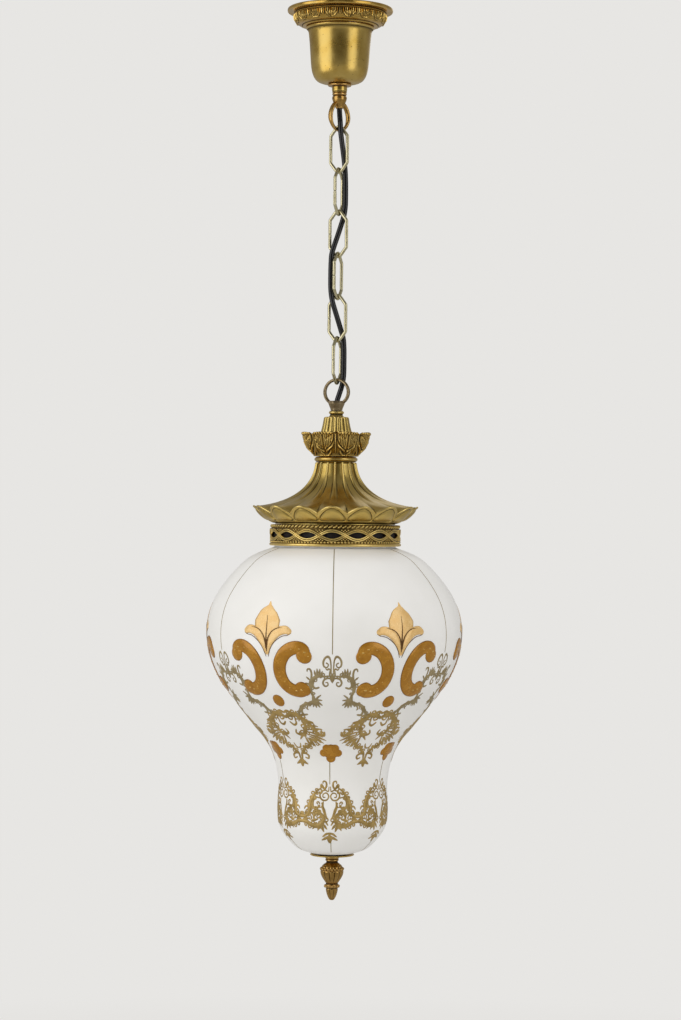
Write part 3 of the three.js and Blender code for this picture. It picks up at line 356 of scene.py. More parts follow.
def even(line, step, closed=True):
    """The same line with a point about every step metres."""
    whole = np.vstack([line, line[:1]]) if closed else line
    run = np.concatenate([[0], np.cumsum(np.linalg.norm(np.diff(whole, axis=0), axis=1))])
    marks = np.linspace(0, run[-1], max(int(run[-1] / step), 8) + 1)
    marks = marks[:-1] if closed else marks
    return np.stack([np.interp(marks, run, whole[:, k]) for k in (0, 1)], axis=1)


def through(points, steps=14):
    """A smooth plane curve through points, evenly weighted."""
    points = np.array(points, float)
    padded = np.vstack([points[:1], points, points[-1:]])
    t = np.linspace(0, 1, steps, endpoint=False)[:, None]
    spans = []
    for a, b, c, d in zip(padded, padded[1:], padded[2:], padded[3:]):
        spans.append(0.5 * (2 * b + (c - a) * t + (2 * a - 5 * b + 4 * c - d) * t ** 2
                            + (3 * b - a - 3 * c + d) * t ** 3))
    return np.vstack([*spans, points[-1:]])


def facing_out(line, closed):
    """The outward direction at each point of a profile, as (radius, height)."""
    if closed:
        along = np.roll(line, -1, axis=0) - np.roll(line, 1, axis=0)
        area = np.sum(line[:, 0] * np.roll(line[:, 1], -1) - np.roll(line[:, 0], -1) * line[:, 1])
        side = 1 if area > 0 else -1
    else:
        along = np.gradient(line, axis=0)
        side = 1 if line[-1, 1] > line[0, 1] else -1
    out = side * np.stack([along[:, 1], -along[:, 0]], axis=1)
    return out / np.maximum(np.linalg.norm(out, axis=1, keepdims=True), 1e-12)


def new_piece(name, places, faces):
    mesh = bpy.data.meshes.new(name)
    mesh.from_pydata(np.asarray(places, float).tolist(), [], faces)
    return new_object(name, mesh)


def close_and_face_out(piece, weld=1e-6):
    """Merges points that meet, drops what they flatten, and turns the faces outwards."""
    work = bmesh.new()
    work.from_mesh(piece.data)
    bmesh.ops.remove_doubles(work, verts=work.verts, dist=weld)
    bmesh.ops.dissolve_degenerate(work, edges=work.edges, dist=weld / 10)
    if work.calc_volume(signed=True) < 0:
        bmesh.ops.reverse_faces(work, faces=work.faces)
    work.to_mesh(piece.data)
    work.free()


def turned(name, line, steps, closed=True, shape=None, relief=None):
    """Turns a line about the lamp's axis. An angle of 0 faces the camera and grows to the right.
    shape(angle, radius, height, point) bends the section, relief(angle, radius, height, point) raises it.
    point is the place in the line, counted from 0."""
    angle = np.linspace(0, 2 * math.pi, steps, endpoint=False)[:, None]
    out = facing_out(line, closed)
    radius = np.broadcast_to(line[:, 0], (steps, len(line)))
    height = np.broadcast_to(line[:, 1], (steps, len(line)))
    point = np.arange(len(line))[None, :]
    raised = relief(angle, radius, height, point) if relief else 0
    if shape:
        radius, height = shape(angle, radius, height, point)
    radius = np.maximum(radius + out[:, 0] * raised, 0)
    height = height + out[:, 1] * raised
    places = np.stack([radius * np.sin(angle), -radius * np.cos(angle), height + 0 * angle],
                      axis=2).reshape(-1, 3)
    count = len(line)
    spans = count if closed else count - 1
    faces = []
    for j in range(steps):
        here, there = j * count, ((j + 1) % steps) * count
        for i in range(spans):
            k = (i + 1) % count
            faces.append((here + i, there + i, there + k, here + k))
    piece = new_piece(name, places, faces)
    close_and_face_out(piece)
    return piece


# %% [markdown]
# ## Finishing a piece
# A finished piece knows how hollow it is at each point, shades smoothly over its rounds and sharply at
# its edges, and rides on the body that carries it. One function does all of this for every piece but the
# lengths of flex.

# %% Finish and mount a piece
def mark_hollows(mesh, feature):
    """Stores a point's hollowness, 1 in a hollow of the feature's radius and -1 on such an edge."""
    count = len(mesh.vertices)
    places, normals = np.empty(count * 3), np.empty(count * 3)
    ends = np.empty(len(mesh.edges) * 2, int)
    mesh.vertices.foreach_get("co", places)
    mesh.vertices.foreach_get("normal", normals)
    mesh.edges.foreach_get("vertices", ends)
    places, normals, ends = places.reshape(-1, 3), normals.reshape(-1, 3), ends.reshape(-1, 2)
    first, second = ends.T
    step = places[second] - places[first]
    length = np.maximum((step ** 2).sum(1), 1e-14)
    bend, meet = np.zeros(count), np.zeros(count)
    np.add.at(bend, first, 2 * (step * normals[first]).sum(1) / length)
    np.add.at(bend, second, -2 * (step * normals[second]).sum(1) / length)
    np.add.at(meet, first, 1)
    np.add.at(meet, second, 1)
    hollow = np.clip(bend / np.maximum(meet, 1) * feature, -1, 1)
    for _ in range(2):
        around = np.zeros(count)
        np.add.at(around, first, hollow[second])
        np.add.at(around, second, hollow[first])
        hollow = 0.5 * hollow + 0.5 * around / np.maximum(meet, 1)
    layer = mesh.attributes.new("hollow", "FLOAT", "POINT")
    layer.data.foreach_set("value", hollow.astype(np.float32))


def mount(piece, body, material, nodes=(), feature=0.0015, crease=40):
    """Gives a piece its finish and its body, and hides the CAD nodes that it stands for."""
    piece.data.materials.clear()
    piece.data.materials.append(material)
    mark_hollows(piece.data, feature)
    piece.data.shade_smooth()
    piece.data.set_sharp_from_angle(angle=math.radians(crease))
    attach(piece, body)
    if nodes:
        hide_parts(*nodes)
    print(piece.name, "has", len(piece.data.polygons), "faces")
    return piece


def node_top(node):
    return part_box(node)[1].z


def turned_ring(name, node, body, material, points, steps=96, rounds=2, feature=0.0015):
    """A plain turned piece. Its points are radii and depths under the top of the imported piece."""
    piece = turned(name, soften(below(node_top(node), points), rounds), steps)
    return mount(piece, body, material, [node], feature=feature)


# %% [markdown]
# ## The ceiling rose
# The rose hides the ceiling strap. Its rim is stamped from sheet with a band of small palmettes, its cup
# is spun and polished. The palmettes are one repeated motif, so they are a formula of the angle.

# %% Turn the rose
MOTIFS = 16  # a shell and a palmette take turns round the rim
BAND_TOP, BAND_FOOT = 7.0, 17.8  # depths of the stamped band under the ceiling, in millimetres
BAND_INNER = 0.0438


def hump(value, middle, width):
    return np.exp(-((value - middle) / width) ** 2)


def motif_relief(angle, radius, height, point):
    depth = np.clip((-height / MM - BAND_TOP) / (BAND_FOOT - BAND_TOP), 0, 1)
    side = np.abs((angle * MOTIFS / (2 * math.pi)) % 1 * 2 - 1)
    band = np.clip(np.sin(math.pi * depth) * 4, 0, 1) * (radius > BAND_INNER) * (point < RIM_FACE)
    bowl = np.sqrt((side / 0.52) ** 2 + ((depth - 0.50) / 0.34) ** 2)
    shell = np.clip(1.1 - bowl ** 2, 0, 1) * (0.55 + 0.45 * np.cos(side * 11 * math.pi))
    rim = 1.2 * hump(bowl, 1.06, 0.12) * np.clip((depth - 0.36) / 0.2, 0, 1)
    reach = 0.50 - 0.16 * np.cos(side * math.pi)
    strokes = (0.5 + 0.5 * np.cos(side * 9 * math.pi)) ** 1.3 * np.clip((reach - depth) / 0.09, 0, 1)
    stem = hump(side, 1, 0.10) * np.clip((0.80 - depth) / 0.2, 0, 1)
    scallop = hump(depth, 0.90 - 0.08 * np.cos(side * math.pi), 0.045)
    return band * (0.8 * shell + rim + 1.5 * strokes + 0.9 * stem + 0.5 * scallop - 0.5) * MM


rim_outside = [
    (38.2, 20.0), (39.4, 20.0), (40.4, 19.95), (41.1, 19.4), (41.4, 18.4), (42.6, 18.4), (45.0, 18.0),
    (47.2, 16.8),
    (49.2, 14.4), (50.3, 11.6), (50.7, 9.0), (50.5, 7.2), (49.9, 6.6), (50.3, 6.3), (50.5, 5.8),
    (50.1, 5.3),
    (49.3, 4.9), (51.6, 4.5), (56.2, 4.4), (57.5, 4.1), (58.0, 3.2), (58.0, 1.4), (57.5, 0.3), (56.6, 0.02),
]
rim_inside = [(48.4, 0.02), (47.8, 3), (47.9, 9.0), (46.8, 12.6), (44.4, 15.2), (40.0, 16.6), (33, 17.2),
              (33, 20.0)]
rim_soft = soften(below(0, rim_outside + rim_inside))
face_end = 4 * len(rim_outside) - 2  # softening makes four points of each one
rim_face = even(rim_soft[:face_end], 0.00055, closed=False)
RIM_FACE = len(rim_face)
rim_line = np.vstack([rim_face, rim_soft[face_end:]])
rose_rim = turned("embossed_rim", rim_line, MOTIFS * 48, relief=motif_relief)
mount(rose_rim, "ceiling_mount", cast_brass, ["rose_rim"], feature=0.0008)

turned_ring("spun_cup", "rose_cup", "ceiling_mount", polished_brass, [
    (5.4, 62.3), (14, 62.25), (20.2, 61.6), (25.6, 59.0), (28.8, 54.4), (30.8, 48.5), (31.7, 42),
    (32.3, 34),
    (33.2, 20), (34.1, 10.5), (34.6, 6.0), (35.6, 3.4), (36.9, 2.4), (37.6, 1.5), (37.3, 0.3), (36.2, 0.1),
    (35.2, 1.6), (33.4, 4.6), (32.6, 8.0), (31.6, 20), (30.4, 34), (29.4, 42), (28.2, 48), (26.2, 52.6),
    (22.8, 57.0), (18.6, 59.6), (14, 60.4), (5.4, 60.5),
], 160, 3, feature=0.004)

turned_ring("dished_washer", "seat_washer", "ceiling_mount", gilt_brass, [
    (5.4, 2.4), (12.3, 2.4), (13, 1.7), (13, 0.7), (12.3, 0), (5.4, 0),
])

turned_ring("grooved_collar", "neck_collar", "ceiling_mount", polished_brass, [
    (5.4, 6.7), (7.6, 6.7), (8.2, 6.4), (8.3, 6.0), (7.4, 5.7), (7.4, 5.4), (8.3, 5.2), (8.4, 0.5),
    (8.0, 0), (5.4, 0),
])

# %% [markdown]
# ## The cast loops
# A loop is cast with a shallow groove round its outer face, and it is thickest away from the place where
# the link bears on it. Each loop grows out of a neck or a foot that is bored for the flex.

# %% Build the loops
LOOP_SWELL = 0.6


def loop_shell(outer, wire, bearing, yaw, height, shoulder=0.0, around=72, section=20):
    """Points and faces of a cast ring in an upright plane, turned by yaw degrees about the axis.
    shoulder stretches the half that grows out of the neck."""
    t = np.linspace(0, 2 * math.pi, around, endpoint=False)[:, None]
    s = np.linspace(0, 2 * math.pi, section, endpoint=False)[None, :]
    groove = 0.2 * np.exp(-(np.sin(s) / 0.3) ** 2) * (np.cos(s) > 0)
    reach = outer - wire + wire * np.cos(s) * (1 - groove)
    rise = reach * np.sin(t)
    away = np.clip((1 - bearing * rise / outer - 0.35) / 0.65, 0, 1)
    swell = 1 + LOOP_SWELL * away * away * (3 - 2 * away)
    side, thick = reach * np.cos(t), wire * np.sin(s) * swell
    rise = rise + shoulder * np.clip(-bearing * rise / outer, 0, 1) ** 2 * -bearing
    turn = math.radians(yaw)
    x = side * math.cos(turn) - thick * math.sin(turn)
    y = side * math.sin(turn) + thick * math.cos(turn)
    places = np.stack([x, y, rise + height], axis=2).reshape(-1, 3)
    faces = [
        (j * section + i, j * section + (i + 1) % section,
         ((j + 1) % around) * section + (i + 1) % section, ((j + 1) % around) * section + i)
        for j in range(around) for i in range(section)
    ]
    return places, faces


def join_pieces(name, *pieces):
    """Several closed shells as one piece."""
    with bpy.context.temp_override(active_object=pieces[0], selected_editable_objects=list(pieces)):
        bpy.ops.object.join()
    pieces[0].name = name
    return pieces[0]


def cast_loop(name, neck, *ring):
    loop = new_piece("loop", *loop_shell(*ring))
    close_and_face_out(loop)
    return join_pieces(name, neck, loop)


neck_top = node_top("top_loop")
neck_line = below(neck_top, [
    (3.4, 17), (4.1, 17), (4.8, 14.6), (6.0, 12.0), (7.2, 9.4), (8.0, 7.0), (8.2, 5.0), (7.8, 3.8),
    (7.0, 3.3),
    (7.1, 2.8), (7.8, 2.3), (8.1, 1.3), (7.6, 0.2), (7.2, 0), (3.4, 0),
])
neck = turned("neck", soften(neck_line), 96)
top_loop = cast_loop("cast_top_loop", neck, 0.016, 0.0019, -1, 47, neck_top - 0.0267, 0.0035)
mount(top_loop, "ceiling_mount", gilt_brass, ["top_loop"])

ring_low, ring_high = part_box("hanging_ring")
ring_centre = ring_high.z - 0.0155
foot_line = below(ring_low.z + 0.0106, [
    (3.4, 10.6), (6.6, 10.6), (7.0, 10.2), (7.3, 8.6), (9.7, 3.2), (9.9, 2.2), (9.2, 0.3), (5.9, 0.0),
    (3.4, 3.4),
])
foot = turned("foot", foot_line, 8)
foot.data.transform(Matrix.Rotation(math.radians(22.5), 4, "Z"))
facets = foot.modifiers.new("facets", "BEVEL")
facets.width = 0.0005
facets.segments = 2
finer = foot.modifiers.new("finer", "SUBSURF")
finer.subdivision_type = "SIMPLE"
finer.levels = finer.render_levels = 2
foot.data = bpy.data.meshes.new_from_object(foot.evaluated_get(bpy.context.evaluated_depsgraph_get()))
foot.modifiers.clear()
hanging_ring = cast_loop("cast_hanging_ring", foot, 0.0155, 0.0018, 1, -20, ring_centre)
mount(hanging_ring, "pendant", aged_bronze, ["hanging_ring"], feature=0.0006, crease=25)

# %% [markdown]
# ## The chain and the flex
# Every link is a wire bent to an oval, butted at the middle of one side, and softly hammered. The flex is a
# smooth round sheath. Both are a section that follows a path, so one Geometry Nodes tree makes them: a
# closed path with a hammered skin and a butt joint for a link, an open path with capped ends for the flex.

# %% A tree that runs a wire along a path
def geometry_tree(name, inputs):
    """A tree with a geometry input and output and the given named inputs."""
    tree = bpy.data.node_groups.new(name, "GeometryNodeTree")
    tree.interface.new_socket(name="Geometry", in_out="INPUT", socket_type="NodeSocketGeometry")
    for label, kind in inputs.items():
        tree.interface.new_socket(name=label, in_out="INPUT", socket_type="NodeSocket" + kind)
    tree.interface.new_socket(name="Geometry", in_out="OUTPUT", socket_type="NodeSocketGeometry")
    return tree, tree.nodes.new("NodeGroupInput").outputs, tree.nodes.new("NodeGroupOutput").inputs


def end_tree(tree, geometry, material, result):
    whole = add_node(tree, "GeometryNodeRealizeInstances", {"Geometry": geometry}).outputs[0]
    smooth = add_node(tree, "GeometryNodeSetShadeSmooth", {"Geometry": whole}).outputs[0]
    finished = add_node(tree, "GeometryNodeSetMaterial",
                        {"Geometry": smooth, "Material": material}).outputs[0]
    tree.links.new(finished, result["Geometry"])


def build_wire_tree():
    tree, given, result = geometry_tree("wire along a path", {
        "Wire Radius": "Float", "Sides": "Int", "Samples": "Int", "Hammer Depth": "Float",
        "Hammer Scale": "Float", "Seed": "Float", "Butt Joint": "Float", "Material": "Material",
    })
    path = add_node(tree, "GeometryNodeMeshToCurve", {"Mesh": given["Geometry"]}).outputs[0]
    path = add_node(tree, "GeometryNodeResampleCurve",
                    {"Curve": path, "Count": given["Samples"]}).outputs[0]
    along = add_node(tree, "GeometryNodeSplineParameter").outputs["Factor"]
    from_joint = calculate(tree, "MINIMUM", along, calculate(tree, "SUBTRACT", 1, along))
    pinch = calculate(tree, "MULTIPLY", between(tree, from_joint, 0, 0.006, 1, 0), given["Butt Joint"])
    section = add_node(tree, "GeometryNodeCurvePrimitiveCircle",
                       {"Resolution": given["Sides"], "Radius": given["Wire Radius"]}).outputs[0]
    wire = add_node(tree, "GeometryNodeCurveToMesh", {
        "Curve": path, "Profile Curve": section, "Scale": calculate(tree, "SUBTRACT", 1, pinch),
        "Fill Caps": True,
    }).outputs[0]
    place = add_node(tree, "GeometryNodeInputPosition").outputs[0]
    blows = add_node(tree, "ShaderNodeTexNoise", {
        "Vector": place, "W": given["Seed"], "Scale": given["Hammer Scale"], "Detail": 1.0,
    }, noise_dimensions="4D").outputs["Fac"]
    dent = calculate(tree, "MULTIPLY", calculate(tree, "SUBTRACT", blows, 0.5), given["Hammer Depth"])
    normal = add_node(tree, "GeometryNodeInputNormal").outputs[0]
    push = add_node(tree, "ShaderNodeVectorMath", {0: normal, "Scale": dent}, operation="SCALE").outputs[0]
    hammered = add_node(tree, "GeometryNodeSetPosition", {"Geometry": wire, "Offset": push}).outputs[0]
    end_tree(tree, hammered, given["Material"], result)
    return tree


def grow(name, start, tree, **values):
    """Runs a tree on a start mesh and keeps the result as a plain mesh."""
    piece = new_object(name, start)
    modifier = piece.modifiers.new("grow", "NODES")
    modifier.node_group = tree
    for item in tree.interface.items_tree:
        key = item.name.lower().replace(" ", "_")
        if item.in_out == "INPUT" and key in values:
            modifier[item.identifier] = values[key]
    view = bpy.context.evaluated_depsgraph_get()
    piece.data = bpy.data.meshes.new_from_object(piece.evaluated_get(view), preserve_all_data_layers=True,
                                                 depsgraph=view)
    piece.modifiers.clear()
    return piece


wire_tree = build_wire_tree()


def wire_along(name, points, closed, material, radius, sides, samples, hammer=(0.0, 1.0, 0.0),
               butt_joint=0.0):
    """A wire that follows points. hammer gives the depth, scale and seed of its dents."""
    path = bpy.data.meshes.new("path")
    last = len(points) if closed else len(points) - 1
    path.from_pydata([tuple(p) for p in points], [(i, (i + 1) % len(points)) for i in range(last)], [])
    depth, scale, seed = hammer
    wire = grow(name, path, wire_tree, wire_radius=radius, sides=sides, samples=samples, hammer_depth=depth,
                hammer_scale=scale, seed=seed, butt_joint=butt_joint, material=material)
    close_and_face_out(wire)
    return wire


print("Tree:", wire_tree.name)

# %% Bend the links
LINK_WIRE = 0.0018
LINK_END = 0.0041
LINK_SWEEP = math.radians(53)
LINK_HALF_WIDTH = 0.00985
LINK_CORNER = 0.0018
LINK_YAWS = (-23, 66)
LINKS = 6


def link_outline(half_length):
    """The centre line of a link in its own plane, from the butt joint at the middle of its left side."""
    centre = half_length - LINK_END
    arc = [(LINK_END * math.sin(a), centre + LINK_END * math.cos(a)) for a in np.linspace(0, LINK_SWEEP, 7)]
    slope = Vector((math.cos(LINK_SWEEP), -math.sin(LINK_SWEEP)))
    bend = Vector(arc[-1]) + slope * ((LINK_HALF_WIDTH - arc[-1][0]) / slope.x)
    corner = bend - slope * LINK_CORNER
    quarter = arc + [tuple(corner), tuple(bend), (LINK_HALF_WIDTH, bend.y - LINK_CORNER)]
    right = quarter + [(x, -y) for x, y in reversed(quarter)][:-1]
    left = [(-x, -y) for x, y in quarter] + [(-x, y) for x, y in reversed(quarter)][:-1]
    round_line = soften(np.array(right + left), 2)
    start = int(np.argmin(np.abs(round_line[:, 1]) + (round_line[:, 0] > 0)))
    middle = np.array([[-LINK_HALF_WIDTH, 0]])
    return np.vstack([middle, np.roll(round_line, -start - 1, axis=0)])


link_centres = []
for index in range(LINKS):
    low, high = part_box(f"chain_link_{index + 1}")
    centre = (low.z + high.z) / 2
    link_centres.append(centre)
    outline = link_outline((high.z - low.z) / 2 - LINK_WIRE)
    yaw = math.radians(LINK_YAWS[index % 2])
    points = [(x * math.cos(yaw), x * math.sin(yaw), centre + z) for x, z in outline]
    link = wire_along(f"bent_link_{index + 1}", points, True, chain_brass, LINK_WIRE, 16, 220,
                      hammer=(0.0004, 260.0, 3.1 * index), butt_joint=0.24)
    mount(link, f"link_{index + 1}", chain_brass, [f"chain_link_{index + 1}"],
          feature=0.0012)

# %% [markdown]
# ## The flex
# A two-core flex of 5.8 mm leaves the nozzle, winds in and out of the links and goes down into the foot.
# The real flex bends where the chain bends. Here it is made in seven lengths from the middle of one link to
# the middle of the next, so that each length spans the one hinge that it passes.

# %% Lay the flex
FLEX_RADIUS = 0.0029
FLEX_STEP = 0.0015
FLEX_ROUTE = [
    (0, 0, -12), (0, 0, -40), (0, 0, -96), (0, 0, -110), (0.4, -1.9, -117), (1.1, -5.3, -126),
    (1.7, -6.2, -136), (3, -3.8, -146), (4.7, -0.4, -158), (6, 2.1, -168), (7, 3.2, -178),
    (7.5, 3.3, -188), (7.7, 3.4, -202), (7.4, 3.3, -218), (5.9, 3.1, -228), (2.4, 1.3, -240),
    (-0.7, -0.5, -250), (-4, -2.3, -260), (-6.8, -3.3, -270), (-7.5, -3.4, -280), (-7.7, -3.4, -294),
    (-7.4, -3.3, -310), (-5.6, -3, -322), (-2.6, -1.5, -332), (0.6, 0.3, -342), (3.7, 2.1, -352),
    (6.6, 3.2, -362), (7.5, 3.4, -372), (7.7, 3.4, -388), (7.4, 3.3, -404), (5.8, 2.7, -414),
    (2.8, 1.4, -424), (0.5, 0.3, -431.5), (0, 0, -437), (0, 0, -450), (0, 0, -520), (0, 0, -585),
]


def smooth_path(points, steps=12):
    """A curve through the points that doesn't overshoot where they lie close together."""
    points = [Vector(p) * MM for p in points]
    padded = [2 * points[0] - points[1], *points, 2 * points[-1] - points[-2]]
    path = []
    for a, b, c, d in zip(padded, padded[1:], padded[2:], padded[3:]):
        t1 = math.sqrt((b - a).length)
        t2 = t1 + math.sqrt((c - b).length)
        t3 = t2 + math.sqrt((d - c).length)
        for k in range(steps):
            t = t1 + (t2 - t1) * k / steps
            ab = a.lerp(b, t / t1)
            bc = b.lerp(c, (t - t1) / (t2 - t1))
            cd = c.lerp(d, (t - t2) / (t3 - t2))
            abc = ab.lerp(bc, t / t2)
            bcd = bc.lerp(cd, (t - t1) / (t3 - t1))
            path.append(abc.lerp(bcd, (t - t1) / (t2 - t1)))
    return path + [points[-1]]


def stretch(path, top, bottom):
    """The part of a falling path between two heights, with points exactly at both."""
    part = []
    for p, q in zip(path, path[1:]):
        for height in (top, bottom):
            if p.z >= height > q.z:
                part.append(p.lerp(q, (p.z - height) / (p.z - q.z)))
        if top > q.z > bottom:
            part.append(q)
    return part


def gloss(name, colour, roughness, cloud=0.15, scale=90, coat=0.0):
    """A smooth coloured material whose tone and gloss vary a little."""
    material, tree, shader = new_material(name)
    place = object_place(tree)
    patch = noise(tree, place, scale, 3)
    darker = tuple(c * (1 - cloud) for c in colour)
    fill(tree, shader, {
        "Base Color": mix_colours(tree, between(tree, patch, 0.35, 0.65), darker, colour),
        "Roughness": between(tree, patch, 0.3, 0.7, roughness * 0.8, roughness * 1.3),
        "Normal": bump(tree, noise(tree, place, scale * 9, 2), 0.12, 0.0003),
        "Coat Weight": coat, "Coat Roughness": 0.1,
    })
    return material


black_sheath = gloss("black flex sheath", (0.004, 0.004, 0.005), 0.2, 0.4, 120, 0.15)
route = smooth_path(FLEX_ROUTE)
FLEX_NODES = ["flex_rose", *[f"flex_link_{i + 1}" for i in range(LINKS)], "flex_pendant"]
route_cuts = [route[0].z, *link_centres, route[-1].z]
for index in range(LINKS + 1):
    points = stretch(route, route_cuts[index], route_cuts[index + 1])
    length = sum((q - p).length for p, q in zip(points, points[1:]))
    part = wire_along(f"flex_length_{index + 1}", points, False, black_sheath, FLEX_RADIUS, 20,
                      int(length / FLEX_STEP))
    part.data.materials.clear()
    part.data.materials.append(black_sheath)
    part.data.set_sharp_from_angle(angle=math.radians(50))
    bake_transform(part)
    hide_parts(*FLEX_NODES[index:index + 2])
    print(part.name, "is", round(length * 1000), "mm long")

# %% [markdown]
# ## The head: bead, cap and crown
# The fluted cap stands in an open crown of eight cast leaves. The leaves are one design of ribs and
# folds round a middle vein, so they are drawn once across a leaf and repeated by the angle.

# %% Turn the bead and the fluted cap
turned_ring("turned_foot_bead", "foot_bead", "pendant", stamped_brass, [
    (5.4, 6.5), (8.1, 6.5), (8.3, 6.1), (7.2, 5.3), (6.8, 4.4), (7.2, 3.6), (8.2, 2.9), (8.4, 1.9),
    (8.1, 1.0),
    (7.0, 0.4), (6.9, 0), (5.4, 0),
], feature=0.001)

CAP_RIBS = 16


def rib(angle, count):
    """A round rib, 0 on its crest and -1 in the groove, repeated round the axis."""
    across = (angle * count / (2 * math.pi) + 0.5) % 1 * 2 - 1
    return (np.sqrt(1 - 0.94 * across ** 2) - 1) / (1 - math.sqrt(0.06))


cap_top = node_top("fluted_cap")


def cap_relief(angle, radius, height, point):
    depth = (cap_top - height) / MM
    ribbed = np.clip((depth - 0.7) / 0.8, 0, 1) * np.clip((17.0 - depth) / 0.8, 0, 1) * (radius > 0.0125)
    return 1.25 * MM * ribbed * rib(angle, CAP_RIBS)


cap_line = below(cap_top, [
    (5.4, 0), (12.2, 0), (13.2, 0.3), (13.8, 1.3), (14.2, 4), (14.9, 8), (15.9, 12.5), (17.0, 16.2),
    (16.8, 17.2),
    (15.0, 17.8), (14.4, 19), (14.4, 41.2), (10.4, 41.2), (10.2, 9.4), (5.4, 4.4),
])
cap = turned("ribbed_cap", even(soften(cap_line), 0.0009), CAP_RIBS * 14, relief=cap_relief)
mount(cap, "pendant", stamped_brass, ["fluted_cap"], feature=0.0012)

# %% Cast the leaf crown
LEAVES = 8
LEAF_TURN = math.radians(21.3)
crown_top, crown_bottom = node_top("leaf_crown"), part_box("leaf_crown")[0].z
CROWN_HEIGHT = crown_top - crown_bottom


def across_leaf(angle, count=LEAVES, turn=LEAF_TURN):
    """From -1 at a leaf's left edge over 0 at its vein to 1 at its right edge."""
    return ((angle - turn) * count / (2 * math.pi) + 0.5) % 1 * 2 - 1


def crown_shape(angle, radius, height, point):
    side = np.abs(across_leaf(angle))
    rise = np.clip((height - crown_bottom) / CROWN_HEIGHT, 0, 1)
    wide = np.clip((radius - 0.020) / 0.020, 0, 1)
    frill = 0.45 * MM * (0.5 - 0.5 * np.cos(side * 9 * math.pi)) * rise ** 8
    dip = (0.5 * side ** 4 + 1.3 * hump(side, 0.95, 0.08)) * MM * rise ** 4
    tuck = 1.7 * MM * side ** 2 * np.sin(math.pi / 2 * rise)
    return radius - tuck * wide, height - (dip + frill) * wide


def crown_relief(angle, radius, height, point):
    across = across_leaf(angle)
    side = np.abs(across)
    rise = np.clip((height - crown_bottom) / CROWN_HEIGHT, 0, 1)
    carved = -0.9 + 0.75 * hump(side, 1, 0.045) * (rise > 0.1)  # the dark gap and the dart in it
    half = 0.84 * np.sqrt(np.clip(1 - ((0.80 - np.clip(rise, 0, 0.80)) / 0.50) ** 2, 0, 1))
    belly = 1 / (1 + np.exp((side - half) / 0.018)) * (rise > 0.28)
    edge = hump(side, half - 0.07, 0.040) * (rise > 0.30)
    round_off = 1 - 0.55 * (side / np.maximum(half, 0.2)) ** 2
    vein = 0.9 * hump(across, 0, 0.045) * (rise < 0.86)
    lines = 0.13 * np.cos(across * 15 * math.pi) * (rise < 0.88)
    lobes = 0.5 * hump(rise - 0.35 * side, 0.62, 0.045) * np.clip((side - 0.16) / 0.1, 0, 1)
    petal = belly * (1.4 * round_off + 0.8 * edge - vein + 1.6 * lines - 1.5 * lobes)
    frill = 1.0 * hump(rise, 0.93, 0.045) * (0.5 + 0.5 * np.cos(across * 9 * math.pi))
    carved = carved + petal + belly * frill
    # two slanting leaves below the petal
    for foot, reach, strength in ((0.10, 0.80, 1.7), (-0.10, 0.62, 1.3)):
        leaf = hump(rise - 0.36 * side, foot + 0.03, 0.050)
        carved = carved + strength * leaf * np.clip((reach - side) / 0.12, 0,
                                                    1) * np.clip((side - 0.05) / 0.08, 0, 1)
    outside = np.clip((radius - 0.0245) / 0.002, 0, 1) * (point < CROWN_OUTER)
    return 1.15 * MM * (carved - 0.4) * outside


crown_outside = [
    (5.4, 26.4), (23.4, 26.4), (25.6, 25.2), (29.4, 21.6), (32.9, 17.2), (35.5, 12.7), (36.9, 8.4),
    (38.0, 4.2),
    (38.6, 1.6), (38.9, 0.6), (38.4, 0.1), (37.5, 0.3),
]
crown_inside = [(37.5, 0.3), (35.6, 5.4), (33.4, 11), (30.2, 16), (26.4, 20.4), (22.4, 23.8), (5.4, 24.4)]
crown_outer_line = even(below(crown_top, through(crown_outside, 8)), 0.0006, closed=False)
CROWN_OUTER = len(crown_outer_line)
crown_line = np.vstack([crown_outer_line, even(below(crown_top, crown_inside), 0.0022, closed=False)[1:]])
crown = turned("cast_leaf_crown", crown_line, LEAVES * 84, shape=crown_shape, relief=crown_relief)
mount(crown, "pendant", cast_brass, ["leaf_crown"], feature=0.0010)

turned_ring("half_round_bead", "neck_bead", "pendant", polished_brass, [
    (5.4, 6), (21.8, 6), (22, 5.2), (23.3, 4.4), (23.9, 3.0), (23.4, 1.6), (22.2, 0.7), (22.0, 0), (5.4, 0),
], 160)

# %% [markdown]
# ## The fluted bell
# The bell is stamped from one sheet: sixteen round ribs run down from its neck and widen into petals. Each
# petal has a rolled rim and a raised oval in its sloping underside. The section swings between a line
# over a rib and a line over a groove as the angle goes round, which also scallops the edge.

# %% Stamp the bell
PETALS = 16
PETAL_TURN = math.radians(-2.3)
PETAL_CUT, PETAL_DIP = 8.5, 7.0
RIB_HALF = 0.44  # half of a rib's width, as a share of half a petal
FLUTE_DEPTH = 2.2
BELL_WALL = 1.5
NECK_RADIUS = 22.2
TIP_RADIUS, TIP_DEPTH = 90.6, 49.6
FOOT_RADIUS, FOOT_DEPTH = 66.0, 68.0
bell_top = node_top("fluted_bell")


def bezier(points, steps):
    t = np.linspace(0, 1, steps)[:, None]
    a, b, c, d = (np.array(p) for p in points)
    return (1 - t) ** 3 * a + 3 * (1 - t) ** 2 * t * b + 3 * (1 - t) * t ** 2 * c + t ** 3 * d


